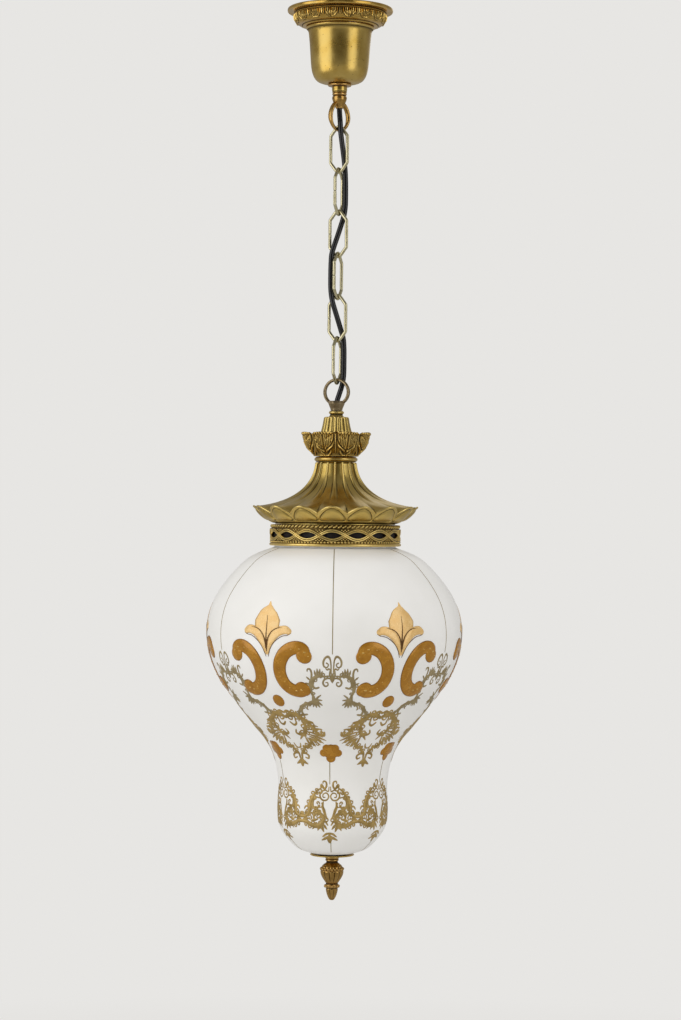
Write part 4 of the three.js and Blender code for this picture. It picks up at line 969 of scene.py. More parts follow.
t = np.linspace(0, 1, 34)
bell_under = np.stack([FOOT_RADIUS + (TIP_RADIUS - FOOT_RADIUS) * t,
                       FOOT_DEPTH - 1 - (FOOT_DEPTH - 1 - TIP_DEPTH) * t + 11 * t * (1 - t)], axis=1)
bell_roll = TIP_DEPTH + np.array([[0.4, -0.3], [0.5, -0.9], [0.25, -1.5], [-0.4, -1.9], [-1.1, -1.75],
                                  [-1.6, -1.2]])
bell_roll[:, 0] += TIP_RADIUS - TIP_DEPTH
bell_flare = bezier([(TIP_RADIUS - 2.1, TIP_DEPTH - 1.0), (TIP_RADIUS * 0.495, TIP_DEPTH * 0.9 - 0.4),
                     (24.0, TIP_DEPTH / 2), (NECK_RADIUS, 0)], 74)
bell_outside = np.vstack([[(FOOT_RADIUS, FOOT_DEPTH)], bell_under, bell_roll, bell_flare])
ROLL_START = 1 + len(bell_under)
FLARE_START = ROLL_START + len(bell_roll)
FLARE_END = len(bell_outside)
bell_inside = np.vstack([bell_flare[::-5] + (-BELL_WALL, BELL_WALL * 0.6),
                         bell_under[-6::-6] + (-BELL_WALL, -0.6)])
bell_inside[0] = (NECK_RADIUS - BELL_WALL, BELL_WALL)
bell_ring = np.vstack([bell_outside, [(5.4, 0), (5.4, BELL_WALL)], bell_inside,
                       [(FOOT_RADIUS - BELL_WALL, FOOT_DEPTH)]])


def bell_shape(angle, radius, height, point):
    across = across_leaf(angle, PETALS, PETAL_TURN)
    valley = 1 - np.abs(np.cos(across * math.pi / 2))
    out = np.clip((radius / MM - 21.5) / (TIP_RADIUS - 21.5), 0, 1)
    lower = np.clip((radius / MM - FOOT_RADIUS) / (TIP_RADIUS - FOOT_RADIUS), 0, 1)
    under = (point < ROLL_START) | (height < bell_top - (TIP_DEPTH + 1) * MM)
    cut = np.where(under, lower, 0.86 * out ** 5 + 0.14 * out)
    dip = np.where(under, lower, out ** 5)
    rolled = (point >= ROLL_START) & (point < FLARE_START)
    cut, dip = np.where(rolled, 1, cut), np.where(rolled, 1, dip)
    return radius - PETAL_CUT * cut * valley * MM, height - PETAL_DIP * dip * valley * MM


def bell_relief(angle, radius, height, point):
    across = across_leaf(angle, PETALS, PETAL_TURN)
    side = np.abs(across)
    out = (radius / MM - FOOT_RADIUS) / (TIP_RADIUS - FOOT_RADIUS)
    ring = np.sqrt((across / 0.86) ** 2 + ((out - 0.60) / 0.32) ** 2)
    boss = 1.3 * np.clip(1 - ring ** 2, 0, 1) ** 0.7 - 0.9 * hump(ring, 1.05, 0.07)
    under = np.where((point > 0) & (point < ROLL_START), boss, 0)
    along = np.clip((radius / MM - 21.5) / (TIP_RADIUS - 21.5), 0, 1)
    rib = np.cos(math.pi / 2 * np.clip(side / (RIB_HALF - 0.10 * along), 0, 1)) ** 1.3
    fade = np.clip(1 - along * 1.2, 0, 1) ** 1.5
    flute = FLUTE_DEPTH * fade * (rib - 1) + 0.6 * fade * rib
    upper = np.where((point >= FLARE_START) & (point < FLARE_END - 1), flute, 0)
    return MM * (under + upper)


bell = turned("stamped_bell", below(bell_top, bell_ring), PETALS * 30, shape=bell_shape, relief=bell_relief)
mount(bell, "pendant", stamped_brass, ["fluted_bell"], feature=0.0010, crease=50)

# %% [markdown]
# ## The pierced gallery
# The gallery is a low ring with sixteen almond-shaped eyes cut through it. Two pairs of wires weave up and
# down round the ring and cross between the eyes. A rope runs along its top and beads fill the corners.

# %% A tree that sets beads round the axis
def build_bead_tree():
    tree, given, result = geometry_tree("beads at points", {
        "Bead Size": "Vector", "Lean": "Float", "Material": "Material",
    })
    bead = add_node(tree, "GeometryNodeMeshUVSphere",
                    {"Segments": 10, "Rings": 6, "Radius": 1.0}).outputs[0]
    place = add_node(tree, "GeometryNodeInputPosition").outputs[0]
    flat = add_node(tree, "ShaderNodeSeparateXYZ", {0: place}).outputs
    front = calculate(tree, "MULTIPLY", flat["Y"], -1)
    angle = calculate(tree, "ARCTAN2", flat["X"], front)
    lean = add_node(tree, "ShaderNodeCombineXYZ", {"Y": given["Lean"], "Z": angle}).outputs[0]
    turn = add_node(tree, "FunctionNodeEulerToRotation", {0: lean}).outputs[0]
    beads = add_node(tree, "GeometryNodeInstanceOnPoints", {
        "Points": given["Geometry"], "Instance": bead, "Rotation": turn, "Scale": given["Bead Size"],
    }).outputs[0]
    end_tree(tree, beads, given["Material"], result)
    return tree


bead_tree = build_bead_tree()


def round_points(count, radius, height, turn=0.0, cluster=((0, 0),)):
    """Places round the axis. cluster gives the places of one group, across and up, in millimetres."""
    points = []
    for k in range(count):
        for across, up in cluster:
            angle = turn + 2 * math.pi * k / count + across * MM / radius
            points.append((radius * math.sin(angle), -radius * math.cos(angle), height + up * MM))
    return points


def bead_row(name, body, material, points, size, lean=0.0):
    """Beads at points. size is across, deep and high, in millimetres, as half measures."""
    start = bpy.data.meshes.new("points")
    start.from_pydata(points, [], [])
    row = grow(name, start, bead_tree, bead_size=tuple(s * MM for s in size), lean=lean, material=material)
    return mount(row, body, material, feature=0.0006)

# %% Cut and wire the gallery
EYES = 16
EYE_TURN = math.radians(-2.6)
EYE_HALF = (0.0100, 0.0032)
gallery_low, gallery_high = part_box("pierced_gallery")
gallery_top, gallery_bottom = gallery_high.z, gallery_low.z
GALLERY_RADIUS = 0.0710
eye_height = (gallery_top + gallery_bottom) / 2 + 0.0004

gallery_line = below(gallery_top, [
    (69.1, 23.0), (70.4, 23.0), (70.6, 22.6), (70.6, 18.9), (70.6, 4.8), (70.5, 4.2), (70.1, 3.8),
    (69.9, 2.4),
    (69.9, 0.4), (69.5, 0.1), (64.6, 0.05),
    (64.6, 1.4), (69.1, 1.6),
])
gallery = turned("pierced_ring", even(soften(gallery_line), 0.0011), EYES * 16)


def almond(half_length, half_height, count=14):
    t = np.linspace(-1, 1, count)
    upper = [(half_length * s, half_height * (1 - s * s)) for s in t]
    return upper + [(x, -z) for x, z in reversed(upper[1:-1])]


def eye_cutters():
    """Sixteen almond prisms through the ring's wall."""
    places, faces = [], []
    outline = almond(*EYE_HALF)
    count = len(outline)
    for k in range(EYES):
        turn = EYE_TURN + 2 * math.pi * k / EYES
        base = len(places)
        for depth in (0.066, 0.076):
            for x, z in outline:
                places.append((x * math.cos(turn) + depth * math.sin(turn),
                               x * math.sin(turn) - depth * math.cos(turn), eye_height + z))
        faces.append([base + i for i in range(count)])
        faces.append([base + count + i for i in reversed(range(count))])
        faces += [(base + i, base + count + i, base + count + (i + 1) % count, base + (i + 1) % count)
                  for i in range(count)]
    cutters = new_piece("eye_cutters", places, faces)
    work = bmesh.new()
    work.from_mesh(cutters.data)
    bmesh.ops.recalc_face_normals(work, faces=work.faces)
    work.to_mesh(cutters.data)
    work.free()
    return cutters


cutters = eye_cutters()
piercing = gallery.modifiers.new("piercing", "BOOLEAN")
piercing.object = cutters
piercing.solver = "EXACT"
gallery.data = bpy.data.meshes.new_from_object(gallery.evaluated_get(bpy.context.evaluated_depsgraph_get()))
gallery.modifiers.clear()
bpy.data.objects.remove(cutters)
mount(gallery, "pendant", darkened_and_shaded_brass, ["pierced_gallery"], feature=0.001, crease=35)

# Painted shade: a near-black sheet behind the eyes stands for the dark inside of the head.
shade_sheet_line = below(gallery_top, [(67.3, 4.0), (68.4, 4.0), (68.4, 22.6), (67.3, 22.6)])
shade_sheet = turned("dark_liner", shade_sheet_line, 160)
felt_and_shade_black = gloss("dark felt and painted shade", (0.010, 0.006, 0.005), 0.85)
mount(shade_sheet, "pendant", felt_and_shade_black)

lip_line = below(gallery_top, [
    (69.6, 23.4), (71.2, 23.4), (72.1, 22.9), (72.5, 21.8), (72.2, 20.8), (71.3, 20.3), (69.6, 20.3),
])
mount(turned("gallery_lip", soften(lip_line), 160), "pendant", stamped_brass)

# %% Weave the wires and set the beads
WAVE = 0.0050  # how far a woven wire swings up and down
WIRE_PAIR = 0.00098  # half the distance between the two wires of a pair
WAVE_STEPS = 512
WOVEN_WIRE = 0.00076
for side, level in ((-1, "low"), (1, "high")):
    for pair, place in ((-1, "outer"), (1, "inner")):
        points = []
        for step in range(WAVE_STEPS):
            angle = 2 * math.pi * step / WAVE_STEPS
            phase = (angle - EYE_TURN) * EYES / 2
            radius = GALLERY_RADIUS + 0.0003 + 0.0003 * side * math.sin(phase)
            height = eye_height + side * WAVE * math.cos(phase) + pair * WIRE_PAIR
            points.append((radius * math.sin(angle), -radius * math.cos(angle), height))
        wave = wire_along(f"woven_wire_{level}_{place}", points, True, stamped_brass, WOVEN_WIRE, 8,
                          WAVE_STEPS,
                          hammer=(0.0002, 400.0, 1.0))
        mount(wave, "pendant", stamped_brass, feature=0.0008)

bead_row("gallery_rope", "pendant", stamped_brass, round_points(88, 0.0704, gallery_top - 0.0020),
         (2.9, 1.1, 1.05), lean=-0.55)
bead_row("gallery_beads_low", "pendant", stamped_brass, round_points(120, 0.0712, gallery_bottom + 0.0044),
         (1.35, 0.9, 1.0))
SPANDREL = [(0, 2.7), (-1.7, 4.3), (1.7, 4.3), (0, 5.7), (-3.6, 5.6), (3.6, 5.6)]
CORNER = [(across, side * up) for side in (1, -1) for across, up in SPANDREL]
corner_beads = round_points(EYES, 0.0710, eye_height, EYE_TURN + math.pi / EYES, CORNER)
bead_row("gallery_corner_beads", "pendant", stamped_brass, corner_beads, (0.85, 0.8, 0.75))

# %% [markdown]
# ## The opal glass
# The glass is blown in a mould: a straight neck, a wide belly, a narrow waist and a rounded foot. Its white
# is in the glass itself, so it looks soft and deep, with a clear shine on top.

# %% Blow the glass
def opal_glass():
    material, tree, shader = new_material("opal glass")
    place = object_place(tree)
    cloud = noise(tree, place, 14, 3)
    white, shade = (0.90, 0.89, 0.87), (0.85, 0.84, 0.81)
    fill(tree, shader, {
        "Base Color": mix_colours(tree, between(tree, cloud, 0.3, 0.7), shade, white),
        "Roughness": between(tree, noise(tree, place, 40, 2), 0.3, 0.7, 0.34, 0.44),
        "Normal": bump(tree, noise(tree, place, 30, 1), 0.1, 0.001), "IOR": 1.5,
    })
    return material


glass_low, glass_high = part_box("glass_shade")
GLASS_RIM = glass_high.z
GLASS_FOOT = glass_low.z
GLASS_NECK = 66.5
GLASS_WALL = 3.5
ROD_BORE = 6
SHOULDER_DEPTH = 18.8  # from the rim to the shoulder
BELLY, WAIST = 139.5, 60.3
GLASS_TALL = (GLASS_RIM - GLASS_FOOT) / MM - SHOULDER_DEPTH
glass_outline = [(r, SHOULDER_DEPTH + share * GLASS_TALL) for r, share in [
    (24, 1), (0.675 * WAIST, 0.98), (0.945 * WAIST, 0.921), (WAIST, 0.86), (WAIST, 0.755),
    (1.15 * WAIST, 0.655),
    (0.678 * BELLY, 0.557), (0.9 * BELLY, 0.429), (BELLY, 0.3), (0.945 * BELLY, 0.17),
    (0.71 * BELLY, 0.047),
    (GLASS_NECK, 0),
]]
glass_outside = np.vstack([[(ROD_BORE, glass_outline[0][1])], through(glass_outline, 10),
                           [(GLASS_NECK, 0.6), (66.0, 0.0)]])
along = np.gradient(glass_outside, axis=0)
inward = np.stack([along[:, 1], -along[:, 0]], axis=1)
inward /= np.linalg.norm(inward, axis=1, keepdims=True)
glass_inside = (glass_outside + GLASS_WALL * inward)[1:-2:2][::-1]
glass_ring = np.vstack([glass_outside, [(63.5, 0.0), (63.0, 0.6)], glass_inside,
                        [(ROD_BORE, glass_outline[0][1] - GLASS_WALL)]])
opal = opal_glass()
glass = turned("opal_glass", below(GLASS_RIM, glass_ring), 192)
mount(glass, "shade", opal, ["glass_shade"], feature=0.01, crease=60)

# %% [markdown]
# ## Drawing on the glass
# The ornament is drawn flat, in millimetres: across from the middle of its panel, and by its height under
# the ceiling. A stroke is a domed ribbon with a width of its own at each point, like one pull of a brush.
# A Geometry Nodes tree then lays the drawing on the glass. It asks the glass itself, with a ray, how far
# out it is at each height, and repeats the drawing round the six panels.

# %% Brush strokes
ROUND_END = [(0.0, 0.03), (0.1, 0.44), (0.35, 0.76), (0.7, 0.95)]  # shares of its length and of its width


class Drawing:
    """Closed domed strokes on a flat sheet: x across, -y towards the viewer, z the height."""

    def __init__(self):
        self.places, self.faces, self.rims = [], [], []

    def stroke(self, points, widths, height, mirror=False, dome=6, steps=5, sink=0.3):
        """Points as (across, height under the ceiling) and half widths, all in millimetres."""
        line = through(points, steps)
        wide = np.interp(np.linspace(0, len(widths) - 1, len(line)), range(len(widths)), widths)
        along = np.gradient(line, axis=0)
        along /= np.maximum(np.linalg.norm(along, axis=1, keepdims=True), 1e-9)
        start = [(line[0] - along[0] * wide[0] * (1 - e), along[0], wide[0] * w) for e, w in ROUND_END]
        finish = [(line[-1] + along[-1] * wide[-1] * (1 - e), along[-1], wide[-1] * w)
                  for e, w in ROUND_END[::-1]]
        stations = start + list(zip(line, along, wide)) + finish
        for flip in ((1, -1) if mirror else (1,)):
            self._add(stations, flip, height, dome, sink)

    def _add(self, stations, flip, height, dome, sink):
        base, ring = len(self.places), dome + 1
        angles = np.linspace(0, math.pi, ring)
        tallest = max(w for _, _, w in stations)
        for place, along, wide in stations:
            lift = height * min(1.0, (wide / tallest) ** 0.5 + 0.05)
            for angle in angles:
                across = place + np.array([-along[1], along[0]]) * wide * math.cos(angle)
                out = lift * math.sin(angle) ** 0.7 - sink if 0 < angle < math.pi else -sink
                self.places.append((flip * across[0] * MM, -out * MM, -across[1] * MM))
                self.rims.append(abs(math.cos(angle)))
        for j in range(len(stations) - 1):
            for i in range(ring):
                k = (i + 1) % ring
                quad = (base + j * ring + i, base + j * ring + k, base + (j + 1) * ring + k,
                        base + (j + 1) * ring + i)
                self.faces.append(quad if flip > 0 else quad[::-1])
        first = [base + i for i in range(ring)]
        last = [base + (len(stations) - 1) * ring + i for i in range(ring)]
        self.faces.append(first[::-1] if flip > 0 else first)
        self.faces.append(last if flip > 0 else last[::-1])

    def mesh(self, name):
        mesh = bpy.data.meshes.new(name)
        mesh.from_pydata(self.places, [], self.faces)
        layer = mesh.attributes.new("rim", "FLOAT", "POINT")
        layer.data.foreach_set("value", self.rims)
        return mesh


def build_lay_tree():
    tree, given, result = geometry_tree("lay on the glass", {
        "Glass": "Object", "Panels": "Int", "Turn": "Float", "Spread": "Float", "Material": "Material",
    })
    target = add_node(tree, "GeometryNodeObjectInfo", {"Object": given["Glass"]}).outputs["Geometry"]
    place = add_node(tree, "GeometryNodeInputPosition").outputs[0]
    flat = add_node(tree, "ShaderNodeSeparateXYZ", {0: place}).outputs
    start = add_node(tree, "ShaderNodeCombineXYZ", {"X": 0.3, "Y": 0.0001, "Z": flat["Z"]}).outputs[0]
    ray = add_node(tree, "GeometryNodeRaycast", {
        "Target Geometry": target, "Source Position": start, "Ray Direction": (-1, 0, 0), "Ray Length": 1.0,
    })
    reach = add_node(tree, "ShaderNodeSeparateXYZ", {0: ray.outputs["Hit Position"]}).outputs["X"]
    facing = add_node(tree, "ShaderNodeSeparateXYZ", {0: ray.outputs["Hit Normal"]}).outputs
    lift = calculate(tree, "MULTIPLY", flat["Y"], -1)
    radius = calculate(tree, "MULTIPLY_ADD", lift, facing["X"], reach)
    height = calculate(tree, "MULTIPLY_ADD", lift, facing["Z"], flat["Z"])
    angle = calculate(tree, "DIVIDE", flat["X"], reach)
    x = calculate(tree, "MULTIPLY", radius, calculate(tree, "SINE", angle))
    y = calculate(tree, "MULTIPLY", calculate(tree, "MULTIPLY", radius, calculate(tree, "COSINE", angle)),
                  -1)
    wrapped = add_node(tree, "ShaderNodeCombineXYZ", {"X": x, "Y": y, "Z": height}).outputs[0]
    laid = add_node(tree, "GeometryNodeSetPosition",
                    {"Geometry": given["Geometry"], "Position": wrapped}).outputs[0]
    copies = add_node(tree, "GeometryNodeMeshLine",
                      {"Count": given["Panels"], "Offset": (0, 0, 0)}).outputs[0]
    index = add_node(tree, "GeometryNodeInputIndex").outputs[0]
    step = calculate(tree, "DIVIDE", 2 * math.pi, given["Panels"])
    around = calculate(tree, "MULTIPLY_ADD", index, step, given["Turn"])
    uneven = calculate(tree, "MULTIPLY_ADD", calculate(tree, "SINE", around), given["Spread"], around)
    euler = add_node(tree, "ShaderNodeCombineXYZ", {"Z": uneven}).outputs[0]
    turn = add_node(tree, "FunctionNodeEulerToRotation", {0: euler}).outputs[0]
    panels = add_node(tree, "GeometryNodeInstanceOnPoints",
                      {"Points": copies, "Instance": laid, "Rotation": turn}).outputs[0]
    end_tree(tree, panels, given["Material"], result)
    return tree


lay_tree = build_lay_tree()


def lay(name, drawing, material, turn, down, feature=0.0008, spread=0.0):
    """Lays a drawing on the glass, six times round. turn and spread are in degrees, down in millimetres."""
    sheet = drawing.mesh(name)
    sheet.transform(Matrix.Translation((0, 0, -down * MM)))
    piece = grow(name, sheet, lay_tree, glass=glass, panels=6, turn=math.radians(turn),
                 spread=math.radians(spread),
                 material=material)
    close_and_face_out(piece, 1e-7)
    return mount(piece, "shade", material, feature=feature, crease=70)


# %% [markdown]
# ## Enamel and gilding
# The lilies are peach-gold enamel with brown outlines, the big scrolls amber enamel that pools darker at
# its edges. Those darker edges and hollows, on every stroke, are partly the enamel's own outline and partly
# painted shade. The fine scrollwork is a gilt transfer, duller and rubbed through in places.

# %% Make the enamels and the gilding
def enamel(name, bright, deep, outline, roughness, metallic, coat, rim_start=0.72):
    material, tree, shader = new_material(name)
    place = object_place(tree)
    rim = stored(tree, "rim")
    hollow = stored(tree, "hollow")
    cloud = noise(tree, place, 120, 3, 0.6)
    body = mix_colours(tree, between(tree, cloud, 0.32, 0.68), deep, bright)
    # Darker at the rim of each domed stroke and in its hollows: partly its own outline, partly painted
    # shade.
    edge = calculate(tree, "MULTIPLY", between(tree, rim, rim_start, 1),
                     between(tree, cloud, 0.3, 0.5, 0.6, 1))
    outline_and_shade = calculate(tree, "MAXIMUM", edge, between(tree, hollow, 0.2, 0.7))
    fill(tree, shader, {
        "Base Color": mix_colours(tree, outline_and_shade, body, outline),
        "Roughness": between(tree, cloud, 0.3, 0.7, roughness * 0.8, roughness * 1.3),
        "Normal": bump(tree, noise(tree, place, 420, 2), 0.3, 0.0003), "Metallic": metallic,
        "Specular IOR Level": 0.3, "Coat Weight": coat, "Coat Roughness": 0.08,
    })
    return material


peach = enamel("peach-gold enamel", (0.86, 0.59, 0.26), (0.78, 0.48, 0.17), (0.30, 0.145, 0.02), 0.25, 0.2,
               0.3, 0.86)
amber = enamel("amber enamel", (0.50, 0.235, 0.022), (0.38, 0.165, 0.012), (0.17, 0.065, 0.004), 0.24,
               0.3, 0.3,
               0.8)
brown_line = enamel("brown outline", (0.17, 0.08, 0.015), (0.10, 0.04, 0.008), (0.06, 0.02, 0.005), 0.35,
                    0.2,
                    0.2)
gilding = enamel("gilt transfer", (0.54, 0.37, 0.13), (0.34, 0.225, 0.07), (0.30, 0.19, 0.055), 0.36, 0.5,
                 0.1)
pale_gilding = enamel("pale gilt transfer", (0.42, 0.33, 0.17), (0.28, 0.21, 0.10), (0.20, 0.145, 0.07),
                      0.42,
                      0.4, 0.1)
gold_dot = enamel("gold dots", (0.85, 0.56, 0.16), (0.66, 0.38, 0.08), (0.30, 0.14, 0.02), 0.2, 0.6, 0.4)
gold_line = enamel("gold line", (0.36, 0.27, 0.09), (0.20, 0.14, 0.04), (0.14, 0.09, 0.03), 0.35, 0.5, 0.1)
print("Finishes on the glass: two enamels, two gildings, brown and gold")

# %% [markdown]
# ## Lily and scrolls
# Every second panel has a lily of three leaves over a pair of C-scrolls back to back, with an oval under
# them. Each is one or two strokes of changing width.

# %% Draw the lily and the scrolls
def blob(drawing, across, depth, size, height, mirror=True, half=0.1, dome=10):
    """A round drop of enamel."""
    ends = [(across - half, depth), (across, depth), (across + half, depth)]
    drawing.stroke(ends, [size] * 3, height, mirror=mirror, dome=dome, steps=2)


lily = Drawing()
lily.stroke([(0, 640.5), (0.6, 646), (0, 653), (0, 662), (0, 672), (0, 684), (0, 694.5)],
            [0.5, 2.6, 10.8, 16.2, 15.4, 5.5, 0.6], 0.9, dome=10, steps=6)
lily.stroke([(0.6, 698), (2.8, 690), (6.3, 682.2), (11.5, 676.0), (17.5, 672.4), (22.4, 671.8),
             (26.0, 673.2)],
            [0.6, 2.6, 4.2, 4.8, 5.0, 4.8, 3.6], 1.1, mirror=True, dome=8)
lay("enamel_lilies", lily, peach, -30.0, 6.0, spread=1.6)

veins = Drawing()
veins.stroke([(0.2, 656.5), (0.5, 668), (0, 680), (0, 694)], [0.4, 0.7, 0.9, 0.5], 1.4, dome=4)
veins.stroke([(0.6, 691), (1.8, 682), (5.2, 675.4), (10, 671.2), (15.2, 669.6), (19.2, 669.4)],
             [0.6, 0.75, 0.7, 0.6, 0.5, 0.3], 1.45, mirror=True, dome=4)
veins.stroke([(1.4, 700), (4.4, 692), (8.4, 686), (13.6, 681.4), (19.4, 678.2), (25.0, 677.2),
              (28.6, 675.4)],
             [0.35, 0.5, 0.5, 0.5, 0.45, 0.4, 0.3], 0.8, mirror=True, dome=4)
lay("lily_veins", veins, brown_line, -30.0, 6.0, spread=1.6)

scrolls = Drawing()
scrolls.stroke([(42.2, 697.6), (41.8, 691.6), (36.6, 688.8), (28.8, 690.0), (20.6, 695.6), (14.4, 705.2),
                (12.2, 716), (14.4, 726.4), (20.4, 733.2), (28.0, 735.4), (33.0, 734.0)],
               [7.2, 7.6, 7.2, 7.3, 7.4, 7.5, 7.6, 7.6, 7.5, 7.2, 7.0], 1.5, mirror=True, dome=10)
blob(scrolls, 42.4, 697.4, 8.5, 1.6)
blob(scrolls, 33.8, 733.0, 8.0, 1.6)
blob(scrolls, 0, 747.0, 6.7, 1.3, mirror=False)
lay("enamel_scrolls", scrolls, amber, -30.0, 7.2, spread=1.8)

dots = Drawing()
for across, depth, size in [(43.8, 693.4, 1.3), (38.4, 690.0, 1.2), (29.2, 690.4, 1.0), (32.4, 733.6, 1.4),
                            (26.6, 734.6, 1.2), (20.2, 731.4, 0.8), (23.6, 692.8, 0.6), (47.2, 697.6, 0.9),
                            (16.4, 724.6, 0.6), (15.0, 701.4, 0.5), (12.4, 711.2, 0.5), (12.6, 719.6, 0.5)]:
    blob(dots, across, depth, size * 0.8, 2.2, half=0.3 * size, dome=6)
lay("scroll_dots", dots, gold_dot, -30.0, 7.2, spread=1.8)

# %% [markdown]
# ## The gilt transfers
# The panels between carry a rococo frame of shells and C-scrolls, and a festoon hangs under each pair of
# amber scrolls. Gold lines run down the middle of the plain panels, and a shell button ends them.

# %% Draw the lines, the cartouche and the button
def gold_lines(name, depths, half_width, height, steps, turn, down):
    """A thin line down the middle of each panel."""
    lines = Drawing()
    lines.stroke([(0, depth) for depth in depths], [half_width] * len(depths), height, dome=4,
                 steps=steps, sink=0.2)
    lay(name, lines, gold_line, turn, down)


def gilt(drawing, points, widths, height=0.5):
    drawing.stroke(points, widths, height, mirror=True, dome=4, steps=4, sink=0.2)


def leaves(drawing, rows, root_width, tip_width, bend=(0, 0), height=0.5):
    """Short leaves, each from its root to its tip with its half width, and bent at the middle."""
    for root, tip, wide in rows:
        middle = ((root[0] + tip[0]) / 2 + bend[0], (root[1] + tip[1]) / 2 + bend[1])
        gilt(drawing, [root, middle, tip], [root_width, wide, tip_width], height)


def curls(drawing, points, size, gap, height=0.6):
    """Small curled leaves in turns on both sides of a stem."""
    stem = even(np.array(through(points, 8)), gap, closed=False)
    along = np.gradient(stem, axis=0)
    along /= np.linalg.norm(along, axis=1, keepdims=True)
    for k in range(1, len(stem) - 1):
        side = 1 if k % 2 else -1
        out = side * np.array([-along[k][1], along[k][0]])
        reach = size * (0.85 + 0.25 * math.sin(1.7 * k))
        bends = ((0, 0), (0.60, 0.02), (1.0, 0.40), (0.80, 0.86), (0.46, 0.74))
        path = [tuple(stem[k] + reach * (far * out + on * along[k])) for far, on in bends]
        widths = [size * share for share in (0.20, 0.25, 0.20, 0.16, 0.24)]
        drawing.stroke(path, widths, height, mirror=True, dome=4, steps=3, sink=0.2)


gold_lines("gilt_lines_high", (588.5, 600, 620, 650, 680, 697), 0.5, 0.45, 14, -0.6, 5.0)

cartouche = Drawing()
gilt(cartouche, [(1.2, 716), (1.4, 708), (2.2, 701), (4.4, 697.6), (7.6, 699), (9.6, 703.4), (8.8, 708),
                 (5.6, 709), (4.2, 706), (6.2, 704.4)], [0.7, 0.9, 1.0, 1.6, 1.3, 1.3, 1.1, 0.9, 0.8, 0.9])
gilt(cartouche, [(1.6, 712.6), (3.4, 710.6), (5.4, 711.6), (7.0, 710.2)], [0.8, 1.1, 1.0, 0.6])
gilt(cartouche, [(2.4, 713), (2.8, 717.4), (1.8, 720)], [1.0, 1.1, 0.8])
gilt(cartouche, [(0, 716.5), (0.8, 721), (0, 725.5)], [1.2, 2.2, 0.6], 0.7)
gilt(cartouche,
     [(1.2, 721.6), (4.6, 720.6), (8.6, 722.4), (9.8, 726.4), (7.4, 729.4), (4.6, 728.2), (5.0, 725.4),
                 (6.8, 725.4)], [0.9, 1.2, 1.2, 1.2, 1.1, 0.9, 0.8, 0.7])
gilt(cartouche,
     [(3.6, 718.4), (8.4, 718.8), (13.4, 718.4), (18.2, 720.2), (22.0, 724.2), (23.2, 730), (22.4, 735.6),
                 (20.6, 740)], [0.9, 1.2, 1.8, 2.4, 2.8, 2.4, 1.7, 1.3], 0.7)
gilt(cartouche, [(19.6, 724), (20.4, 729), (18.0, 731.8), (14.6, 731)], [1.0, 1.2, 1.3, 1.2])
leaves(cartouche, [((12.0, 718), (10.6, 713.2), 1.4), ((13.8, 717.6), (13.2, 710.8), 1.5),
                        ((15.8, 717.8), (16.2, 710.6), 1.5), ((17.6, 718.6), (19.2, 712.4), 1.4),
                        ((24.2, 722.6), (27.6, 719.6), 1.2), ((25.0, 727.4), (28.4, 726.0), 1.1)], 0.9, 0.5)
gilt(cartouche, [(22.4, 722), (22.0, 716.4), (23.4, 711.6), (26.2, 711.0), (26.8, 713.2)],
     [1.2, 1.3, 1.2, 1.1, 0.8])
fan = [((10.8, 750.4), 1.7), ((13.2, 752.6), 1.8), ((16.6, 753.0), 1.9), ((20.0, 752.2), 1.7),
       ((12.4, 739.4), 1.3),
       ((11.2, 745.0), 1.4)]
leaves(cartouche, [((17.6, 744.6), tip, wide) for tip, wide in fan], 1.2, 0.7, bend=(0.6, 0), height=0.6)
gilt(cartouche,
     [(20.2, 741), (19.8, 745.4), (22.4, 748.6), (27.4, 749.2), (32.2, 752.2), (35.6, 758), (36.6, 764.4),
                 (36.4, 769)], [1.8, 2.4, 2.2, 2.0, 2.2, 1.9, 1.4, 0.7], 0.7)
gilt(cartouche, [(31.4, 753.6), (32.8, 757.8), (30.8, 761.4), (27.2, 761.2)], [1.0, 1.4, 1.5, 1.2])
gilt(cartouche, [(26.0, 750.8), (27.2, 754.2), (25.8, 755.6)], [1.0, 1.1, 0.6])
curls(cartouche, [(2.0, 718.4), (13.4, 718.4), (22.0, 724.2), (23.2, 730), (20.6, 740)], 3.4, 3.0)
curls(cartouche, [(20.2, 741), (22.4, 748.6), (32.2, 752.2), (36.6, 764.4)], 3.2, 3.0)
lay("gilt_cartouches", cartouche, pale_gilding, -0.6, 7.4)

button = Drawing()
for across, depth, size, height in [(-4.6, 801.4, 4.4, 1.0), (4.6, 801.4, 4.4, 1.0), (-7.6, 806.8, 4.4, 0.9),
                                    (7.6, 806.8, 4.4, 0.9), (0, 812.6, 5.0, 0.9), (0, 805.2, 8.4, 1.6)]:
    blob(button, across, depth, size, height, mirror=False)
lay("shell_buttons", button, amber, -1.9, 5.3)

gold_lines("gilt_lines_low", (818, 828, 842), 0.45, 0.45, 8, -3.0, 4.5)

